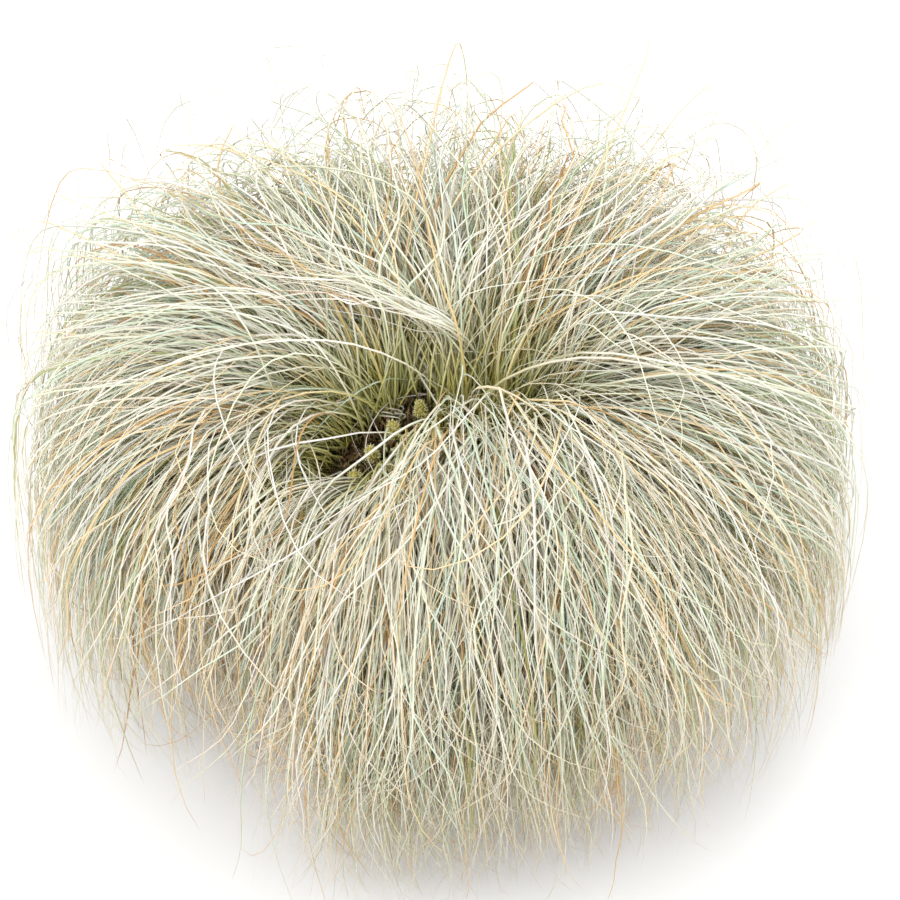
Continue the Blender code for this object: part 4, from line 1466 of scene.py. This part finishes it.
def spike_bristles(name, foot, tip, radius):
    """Bristles that stand out of the core in a spiral and lean towards the tip."""
    axis = tip - foot
    first, second = side_directions(axis / np.linalg.norm(axis))
    part = (np.arange(BRISTLES) + 0.5) / BRISTLES
    turn = np.arange(BRISTLES) * GOLDEN_ANGLE + RANDOM.normal(0, SPIRAL_LOOSENESS, BRISTLES)
    outward = np.cos(turn)[:, None] * first + np.sin(turn)[:, None] * second
    half = radius * BRISTLE_FOOT_WIDTH * spike_swell(part)
    root = foot + axis * (part * BRISTLED_LENGTH)[:, None] + outward * half[:, None]
    lean = BRISTLE_LEAN_AT_FOOT + BRISTLE_LEAN_MORE * part**2
    direction = outward + axis / np.linalg.norm(axis) * lean[:, None]
    direction += RANDOM.normal(0, BRISTLE_SCATTER, (BRISTLES, 3))
    direction /= np.linalg.norm(direction, axis=1, keepdims=True)
    length = RANDOM.uniform(*BRISTLE_LENGTHS, BRISTLES)
    points = root[:, None] + direction[:, None] * (BRISTLE_STATIONS * length[:, None])[..., None]
    headings = np.repeat(turn[:, None], len(BRISTLE_STATIONS), axis=1)
    kinds = np.clip(RANDOM.normal(BRISTLE_KIND, BRISTLE_KIND_SPREAD, BRISTLES), *BRISTLE_KINDS)
    widths = np.full(BRISTLES, BRISTLE_WIDTH)
    return blade_mesh(name, BRISTLE_STATIONS, points, headings, widths, np.zeros((BRISTLES, 2)), kinds)


# %% Finish and stand the spikes
def flower_material(name, stops):
    """Olive yellow that changes along each bristle and from bristle to bristle."""
    material, shader = new_material(name)
    tree = material.node_tree
    place = tree.nodes.new("ShaderNodeTexCoord").outputs["Object"]
    speckle = add_noise(tree, place, 520.0)
    colour = add_ramp(tree, speckle, stops)
    tree.links.new(colour, shader.inputs["Base Color"])
    shader.inputs["Roughness"].default_value = 0.7
    add_bump(tree, shader, speckle, 0.3 * MM)
    return material


CORE_MATERIAL = flower_material("flower_core", ((0.3, srgb(150, 138, 56)), (0.7, srgb(206, 194, 104))))
BRISTLE_MATERIAL = flower_material("flower_bristle", ((0.3, srgb(222, 212, 122)), (0.7, srgb(250, 244, 196))))


def grow_spike(node):
    foot, tip, radius = spike_axis(node)
    core_mesh = spike_core(node + "_core", foot, tip, radius)
    core = add_object(node.replace("spike", "core"), core_mesh, CORE_MATERIAL)
    bristle_mesh = spike_bristles(node + "_bristles", foot, tip, radius)
    bristles = add_object(node.replace("spike", "bristles"), bristle_mesh, BRISTLE_MATERIAL)
    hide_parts(node)
    for piece in (core, bristles):
        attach(piece, "root")
    print(node, "at", np.round(foot / MM), "mm,", round(np.linalg.norm(tip - foot) / MM), "mm long")


for spike in SPIKES:
    grow_spike(spike)


# %% [markdown]
# The surface of the mop
#
# Some leaves are laid where the picture shows them. A picture point says only along which line of
# sight a leaf lies, so we also need the surface that it lies on. That is the run of the outermost leaves,
# which we table by direction and distance from the axis. Then we walk down each line of sight until it
# meets the table.

# %% Find where a line of sight meets the mop
SURFACE_TURNS = 90
SURFACE_RINGS = 140
SURFACE_REACH = 0.27
FAR_BELOW = -1.0
SIGHT_STEP = MM
SIGHT_BEFORE, SIGHT_BEHIND = 0.14, 0.30


def surface_table(rings):
    """Height of the outermost leaves for each direction and ring, and under the floor beyond their reach."""
    turns = np.linspace(-math.pi, math.pi, SURFACE_TURNS + 1)
    share = np.ones(len(turns))
    habit = leaf_habit(share, turns)
    s = ((np.arange(FINE_STEPS) + 0.5) / FINE_STEPS)[None, :]
    launch, hang = np.radians(habit["launch"])[:, None], np.radians(habit["hang"])[:, None]
    slope = hang - (hang - launch) * (1 - s) ** habit["bend"][:, None]
    step = (habit["length"] / FINE_STEPS)[:, None]
    foot = stand_on_crown(share, turns, np.zeros((len(turns), 2)))
    reach = np.hypot(foot[:, 0], foot[:, 1])[:, None] + np.cumsum(np.sin(slope) * step, axis=1)
    height = foot[:, 2][:, None] + np.cumsum(np.cos(slope) * step, axis=1)
    rows = [np.interp(rings, reach[i], height[i], left=DOME_EDGE, right=FAR_BELOW) for i in range(len(turns))]
    return np.maximum(np.array(rows), np.where(rings < CROWN_RADIUS, dome_height(rings), FAR_BELOW))


RINGS = np.linspace(0, SURFACE_REACH, SURFACE_RINGS)
SURFACE = surface_table(RINGS)


def under_surface(points):
    """Whether each point is inside the mop."""
    turn = (np.arctan2(points[..., 1], points[..., 0]) + math.pi) / math.tau * SURFACE_TURNS
    ring = np.hypot(points[..., 0], points[..., 1]) / RINGS[1]
    row = np.clip(np.round(turn).astype(int), 0, SURFACE_TURNS)
    column = np.clip(np.round(ring).astype(int), 0, SURFACE_RINGS - 1)
    return points[..., 2] < SURFACE[row, column]


def lift_from_picture(pixels, lift):
    """The place of each picture point on the mop, moved towards the eye by lift."""
    right = (pixels[..., 0] - CROWN_PIXEL[0]) * METRES_PER_PIXEL
    up = (CROWN_PIXEL[1] - pixels[..., 1]) * METRES_PER_PIXEL
    on_plane = aim_point + right[..., None] * np.array((1.0, 0.0, 0.0)) + up[..., None] * PICTURE_UP
    sight = on_plane - eye_point
    sight /= np.linalg.norm(sight, axis=-1, keepdims=True)
    walk = np.arange(-SIGHT_BEFORE, SIGHT_BEHIND, SIGHT_STEP)
    along_sight = on_plane[..., None, :] + sight[..., None, :] * walk[:, None]
    met = under_surface(along_sight) | (along_sight[..., 2] < FLOOR_CLEARANCE)
    first = np.argmax(met, axis=-1)
    return on_plane + sight * (walk[first][..., None] - lift[..., None])


over_crown = lift_from_picture(np.array([CROWN_PIXEL], float), np.zeros(1))
print("surface over the crown, mm:", np.round(over_crown / MM))


# %% [markdown]
# Leaves laid one by one
#
# The eye knows this plant by a few strands: the pale lock that is swept over to the left, the loops over
# the parting, the nest of arcs on top and the long strands that hang in front. Each lock is a few picture
# points from the root outwards. Under its first point a strand is rooted on the crown, and one smooth
# curve runs through the root and the points. A lock of several strands spreads out a little more towards
# its tip. Its strands may start staggered, and may stand further off the mop than usual. The locks named
# valley and curtain follow no single strand: they fill out the mop below the parting.

# %% List the locks
def lock_of(leaves, spread, kind, *pixels, stagger=0.0, lift=1.0):
    """A lock: strands, their spread in pixels at root and tip, kind of leaf and picture points."""
    return {"leaves": leaves, "spread": spread, "kind": kind, "pixels": pixels,
            "stagger": stagger, "lift": lift}


LAID_LOCKS = {
    "upper sweep": lock_of(16, (3, 18), 0.60, (486, 372), (466, 336), (430, 314), (382, 290), (336, 264),
        (292, 250), (244, 246), (196, 262), stagger=0.4, lift=2.3),
    "lower sweep": lock_of(14, (3, 16), 0.61, (480, 378), (458, 334), (424, 314), (380, 300), (340, 291),
        (296, 284), (252, 288), (198, 316), stagger=0.4, lift=2.3),
    "back sweep": lock_of(12, (4, 20), 0.58, (462, 372), (424, 318), (372, 285), (322, 262), (270, 262),
        (196, 284), stagger=0.3, lift=2.0),
    "far left": lock_of(14, (4, 18), 0.55, (428, 380), (372, 330), (316, 312), (256, 318), (196, 348)),
    "left straw": lock_of(9, (3, 12), 0.70, (400, 396), (350, 386), (300, 394), (252, 412), (196, 438)),
    "left droop": lock_of(14, (4, 20), 0.58, (392, 410), (330, 404), (276, 426), (232, 470), (206, 540)),
    "high loop": lock_of(1, (1, 1), 0.60, (386, 446), (372, 417), (361, 386), (363, 359), (374, 345),
        (388, 337)),
    "left arch": lock_of(2, (1, 4), 0.60, (410, 376), (377, 339), (352, 337), (322, 354), (306, 380),
        (300, 410)),
    "parting loop": lock_of(2, (1, 4), 0.63, (446, 398), (424, 393), (392, 401), (362, 418), (357, 444),
        (368, 472), (388, 506)),
    "crossing strand": lock_of(1, (1, 1), 0.64, (470, 440), (450, 420), (425, 383), (405, 350), (390, 322),
        (368, 292)),
    "top bridge": lock_of(2, (1, 4), 0.62, (560, 398), (556, 364), (536, 346), (492, 341), (452, 346),
        (420, 354)),
    "level strand": lock_of(2, (2, 4), 0.58, (580, 372), (549, 357), (508, 352), (472, 351), (438, 350),
        (412, 352)),
    "small loop": lock_of(1, (1, 1), 0.64, (470, 392), (478, 368), (488, 352), (476, 346), (468, 358),
        (474, 372)),
    "front fall": lock_of(3, (2, 9), 0.64, (500, 380), (492, 364), (477, 386), (458, 424), (451, 470),
        (449, 540), (444, 620)),
    "middle fall": lock_of(3, (2, 9), 0.62, (486, 366), (494, 350), (504, 372), (508, 404), (506, 450),
        (500, 520), (504, 600)),
    "right fall": lock_of(3, (2, 8), 0.60, (530, 392), (540, 380), (546, 410), (552, 458), (560, 510),
        (560, 580), (548, 650)),
    "right arc": lock_of(2, (2, 5), 0.63, (536, 398), (560, 406), (580, 440), (590, 488), (585, 538),
        (566, 590)),
    "long right loop": lock_of(3, (2, 8), 0.72, (560, 398), (588, 388), (604, 408), (614, 452), (612, 500),
        (598, 540), (572, 584)),
    "standing strand": lock_of(1, (1, 1), 0.70, (560, 414), (590, 400), (611, 380), (620, 352), (628, 326),
        (633, 306)),
    "second standing strand": lock_of(1, (1, 1), 0.60, (580, 500), (606, 490), (630, 436), (646, 404),
        (664, 368)),
    "right level": lock_of(6, (3, 11), 0.58, (540, 402), (588, 376), (634, 362), (672, 356), (712, 362)),
    "right straw": lock_of(6, (3, 12), 0.72, (536, 408), (590, 396), (640, 402), (680, 418), (716, 440)),
    "right slant": lock_of(5, (3, 12), 0.62, (548, 428), (590, 448), (630, 488), (676, 536), (716, 586)),
    "low right slant": lock_of(5, (3, 12), 0.62, (550, 438), (590, 480), (620, 530), (660, 590),
        (704, 656)),
    "top arch": lock_of(2, (2, 6), 0.58, (452, 352), (455, 280), (468, 226), (498, 211), (524, 228),
        (542, 262)),
    "top left strand": lock_of(2, (2, 6), 0.62, (450, 352), (436, 296), (420, 258), (410, 226), (404, 190)),
    "top right strand": lock_of(3, (2, 8), 0.62, (480, 362), (500, 318), (514, 282), (534, 240),
        (560, 192)),
    "short right strand": lock_of(2, (1, 4), 0.70, (528, 380), (536, 346), (541, 320), (545, 292)),
    "nest strand 1": lock_of(1, (1, 1), 0.64, (470, 300), (463, 330), (471, 365), (475, 384)),
    "nest strand 2": lock_of(2, (1, 2), 0.66, (476, 372), (483, 348), (493, 366), (502, 393), (507, 428),
        (503, 489), (492, 530), (480, 580)),
    "nest strand 3": lock_of(2, (1, 2), 0.66, (486, 366), (498, 345), (517, 372), (529, 397), (541, 428),
        (545, 452), (562, 505), (570, 560)),
    "nest strand 4": lock_of(2, (1, 3), 0.65, (506, 372), (495, 358), (473, 390), (460, 414), (453, 446),
        (454, 505), (455, 560)),
    "nest strand 5": lock_of(1, (1, 1), 0.64, (506, 396), (497, 386), (489, 401), (481, 439), (479, 470),
        (484, 520), (490, 570)),
    "nest strand 6": lock_of(1, (1, 1), 0.66, (392, 336), (405, 352), (426, 386), (443, 414), (458, 432),
        (472, 452)),
    "nest strand 7": lock_of(1, (1, 1), 0.74, (572, 406), (554, 418), (533, 429), (506, 445), (478, 453),
        (452, 460)),
    "nest strand 8": lock_of(1, (1, 1), 0.64, (552, 420), (561, 411), (585, 379), (602, 360), (614, 344)),
    "nest strand 9": lock_of(1, (1, 1), 0.64, (584, 404), (597, 430), (582, 460), (558, 490), (543, 512),
        (530, 548)),
    "nest strand 10": lock_of(2, (1, 3), 0.60, (540, 404), (560, 396), (582, 402), (604, 406), (630, 402),
        (660, 398)),
    "nest strand 11": lock_of(1, (1, 1), 0.60, (394, 428), (388, 432), (386, 456), (387, 498), (388, 549),
        (384, 600)),
    "nest strand 12": lock_of(2, (1, 3), 0.62, (452, 440), (438, 462), (421, 482), (408, 510), (398, 549),
        (392, 600)),
    "nest strand 13": lock_of(1, (1, 1), 0.62, (430, 440), (440, 470), (467, 504), (481, 515), (500, 523)),
    "nest strand 14": lock_of(1, (1, 1), 0.62, (540, 470), (532, 502), (515, 518), (495, 525), (478, 530)),
    "nest strand 15": lock_of(1, (1, 1), 0.62, (440, 400), (450, 402), (465, 410), (478, 430), (486, 460),
        (480, 500)),
    "nest strand 16": lock_of(2, (1, 3), 0.64, (556, 400), (553, 414), (575, 431), (586, 463), (590, 505),
        (586, 560)),
    "nest strand 17": lock_of(2, (1, 3), 0.62, (520, 392), (524, 420), (525, 470), (524, 512), (518, 560),
        (520, 610)),
    "brown stalk": lock_of(1, (1, 1), 0.97, (540, 350), (586, 300), (628, 264), (641, 236), (648, 206)),
    "brown strand": lock_of(2, (1, 4), 0.92, (524, 360), (548, 322), (578, 290), (614, 258)),
    "left crossing": lock_of(3, (2, 9), 0.62, (300, 400), (262, 400), (246, 436), (256, 470), (280, 504),
        (302, 540)),
    "valley left": lock_of(9, (7, 30), 0.58, (338, 478), (306, 488), (266, 524), (238, 584), (226, 660),
        stagger=0.5, lift=1.1),
    "valley middle": lock_of(9, (7, 30), 0.60, (344, 486), (318, 508), (286, 556), (262, 616), (254, 690),
        stagger=0.5, lift=1.1),
    "valley right": lock_of(9, (7, 26), 0.62, (366, 486), (346, 516), (322, 566), (302, 630), (296, 704),
        stagger=0.5, lift=1.1),
    "valley crossing": lock_of(5, (3, 14), 0.62, (320, 440), (284, 450), (258, 494), (262, 548), (284, 600),
        (300, 650)),
    "curtain 1": lock_of(8, (4, 14), 0.62, (420, 452), (412, 490), (404, 540), (400, 610), (402, 690),
        stagger=0.3),
    "curtain 2": lock_of(8, (4, 14), 0.58, (396, 470), (380, 500), (366, 548), (358, 610), (356, 690),
        stagger=0.3),
    "curtain 3": lock_of(8, (4, 14), 0.62, (372, 482), (346, 512), (330, 560), (322, 620), (322, 700),
        stagger=0.3),
    "curtain 4": lock_of(8, (4, 14), 0.56, (350, 486), (316, 506), (296, 552), (286, 616), (284, 700),
        stagger=0.3),
    "curtain 5": lock_of(7, (4, 14), 0.60, (336, 484), (290, 498), (262, 542), (250, 604), (246, 690),
        stagger=0.3),
    "hem curl": lock_of(2, (2, 6), 0.66, (350, 520), (330, 600), (340, 652), (368, 682), (400, 688),
        (430, 684)),
}
print(len(LAID_LOCKS), "locks to lay")

# %% Lay the strands
LAID_SEGMENTS = 22
CURVE_STEPS = 150
LAID_WIDTH = 1.38 * MM
LAID_LIFT = (13 * MM, 32 * MM)
LIFT_AT_ENDS = (0.35, 0.7)
ROOT_REACH = 0.055
LAID_REACH = (0.78, 1.0)
WOBBLE, WOBBLE_GROWTH = 3.5, 3
LAID_KIND_SPREAD, LAID_WIDTH_SPREAD = 0.06, 0.12
LAID_KINDS = (0.02, 0.99)
LAID_TWISTS = (0.4, 0.9)


def smooth_curve(points, shares):
    """Catmull-Rom curve through points (strand, point, xyz), read at shares (strand, station) of it."""
    ahead, beyond = 2 * points[:, :1] - points[:, 1:2], 2 * points[:, -1:] - points[:, -2:-1]
    ends = np.concatenate([ahead, points, beyond], axis=1)
    spans = points.shape[1] - 1
    place = shares * spans
    span = np.minimum(place.astype(int), spans - 1)
    t = (place - span)[..., None]
    strand = np.arange(len(points))[:, None]
    before, first, second, after = (ends[strand, span + step] for step in range(4))
    bulge = 2 * before - 5 * first + 4 * second - after
    twist = 3 * first - before - 3 * second + after
    return 0.5 * (2 * first + (second - before) * t + bulge * t**2 + twist * t**3)


def lay_lock(lock):
    """Stations, points and headings of a lock's strands."""
    count = lock["leaves"]
    pixels = np.array(lock["pixels"], float)
    share = np.linspace(0, 1, len(pixels))
    start = RANDOM.uniform(0, lock["stagger"], (count, 1))
    along = start + (1 - start) * share
    pixels = np.stack([np.interp(along, share, pixels[:, axis]) for axis in (0, 1)], axis=-1)
    spread = lock["spread"][0] + (lock["spread"][1] - lock["spread"][0]) * share
    offset = RANDOM.normal(0, 1, (count, 1, 2)) * spread[None, :, None]
    wobble = WOBBLE if count > 1 else 0.0
    growth = np.minimum(1.0, WOBBLE_GROWTH * share)[None, :, None]
    offset += RANDOM.normal(0, wobble, (count, len(share), 2)) * growth
    arch = LIFT_AT_ENDS[0] * (1 - share) + LIFT_AT_ENDS[1] * share
    arch = arch + (1 - arch) * np.sin(math.pi * share)
    lift = RANDOM.uniform(*LAID_LIFT, (count, 1)) * arch[None, :] * lock["lift"]
    points = lift_from_picture(pixels + offset, lift)
    root = points[:, 0].copy()
    radius = np.hypot(root[:, 0], root[:, 1])
    root[:, :2] *= np.minimum(1.0, ROOT_REACH / radius)[:, None]
    root[:, 2] = dome_height(np.minimum(radius, ROOT_REACH)) - FOOT_DEPTH
    points = np.concatenate([root[:, None], points], axis=1)
    reach = RANDOM.uniform(*LAID_REACH, count) if count > 1 else np.ones(1)
    curve = keep_clear(smooth_curve(points, np.linspace(0, 1, CURVE_STEPS)[None, :] * reach[:, None]))
    run = curve[:, -1] - curve[:, 0]
    heading = np.repeat(np.arctan2(run[:, 1], run[:, 0])[:, None], CURVE_STEPS, axis=1)
    return resample(curve, heading, LAID_SEGMENTS)


laid = [lay_lock(lock) for lock in LAID_LOCKS.values()]
laid_stations, laid_points, laid_headings = (np.concatenate(parts) for parts in zip(*laid))
laid_kinds = np.concatenate([np.full(lock["leaves"], lock["kind"]) for lock in LAID_LOCKS.values()])
laid_count = len(laid_kinds)
laid_kinds = np.clip(laid_kinds + RANDOM.normal(0, LAID_KIND_SPREAD, laid_count), *LAID_KINDS)
laid_widths = LAID_WIDTH * np.exp(RANDOM.normal(0, LAID_WIDTH_SPREAD, laid_count))
laid_twists = RANDOM.normal(0, 1, (laid_count, 2)) * LAID_TWISTS
laid_mesh = blade_mesh("laid_strands", laid_stations, laid_points, laid_headings, laid_widths, laid_twists,
                       laid_kinds)
strands = add_object("laid_strands", laid_mesh, leaf_material("laid_leaf", 0.16, 1.02))
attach(strands, "root")
print(laid_count, "strands laid,", triangle_count(laid_mesh), "triangles")


# %% [markdown]
# Last step
#
# Leaf tips may pass the box of the solids by a few millimetres and no more, so we write both boxes down
# and compare them.

# %% Measure and finish
new_low, new_high = (np.array(corner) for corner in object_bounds())
past = np.concatenate([cad_low - new_low, new_high - cad_high])
print("grown past the CAD box, mm:", np.round(past / MM, 1))
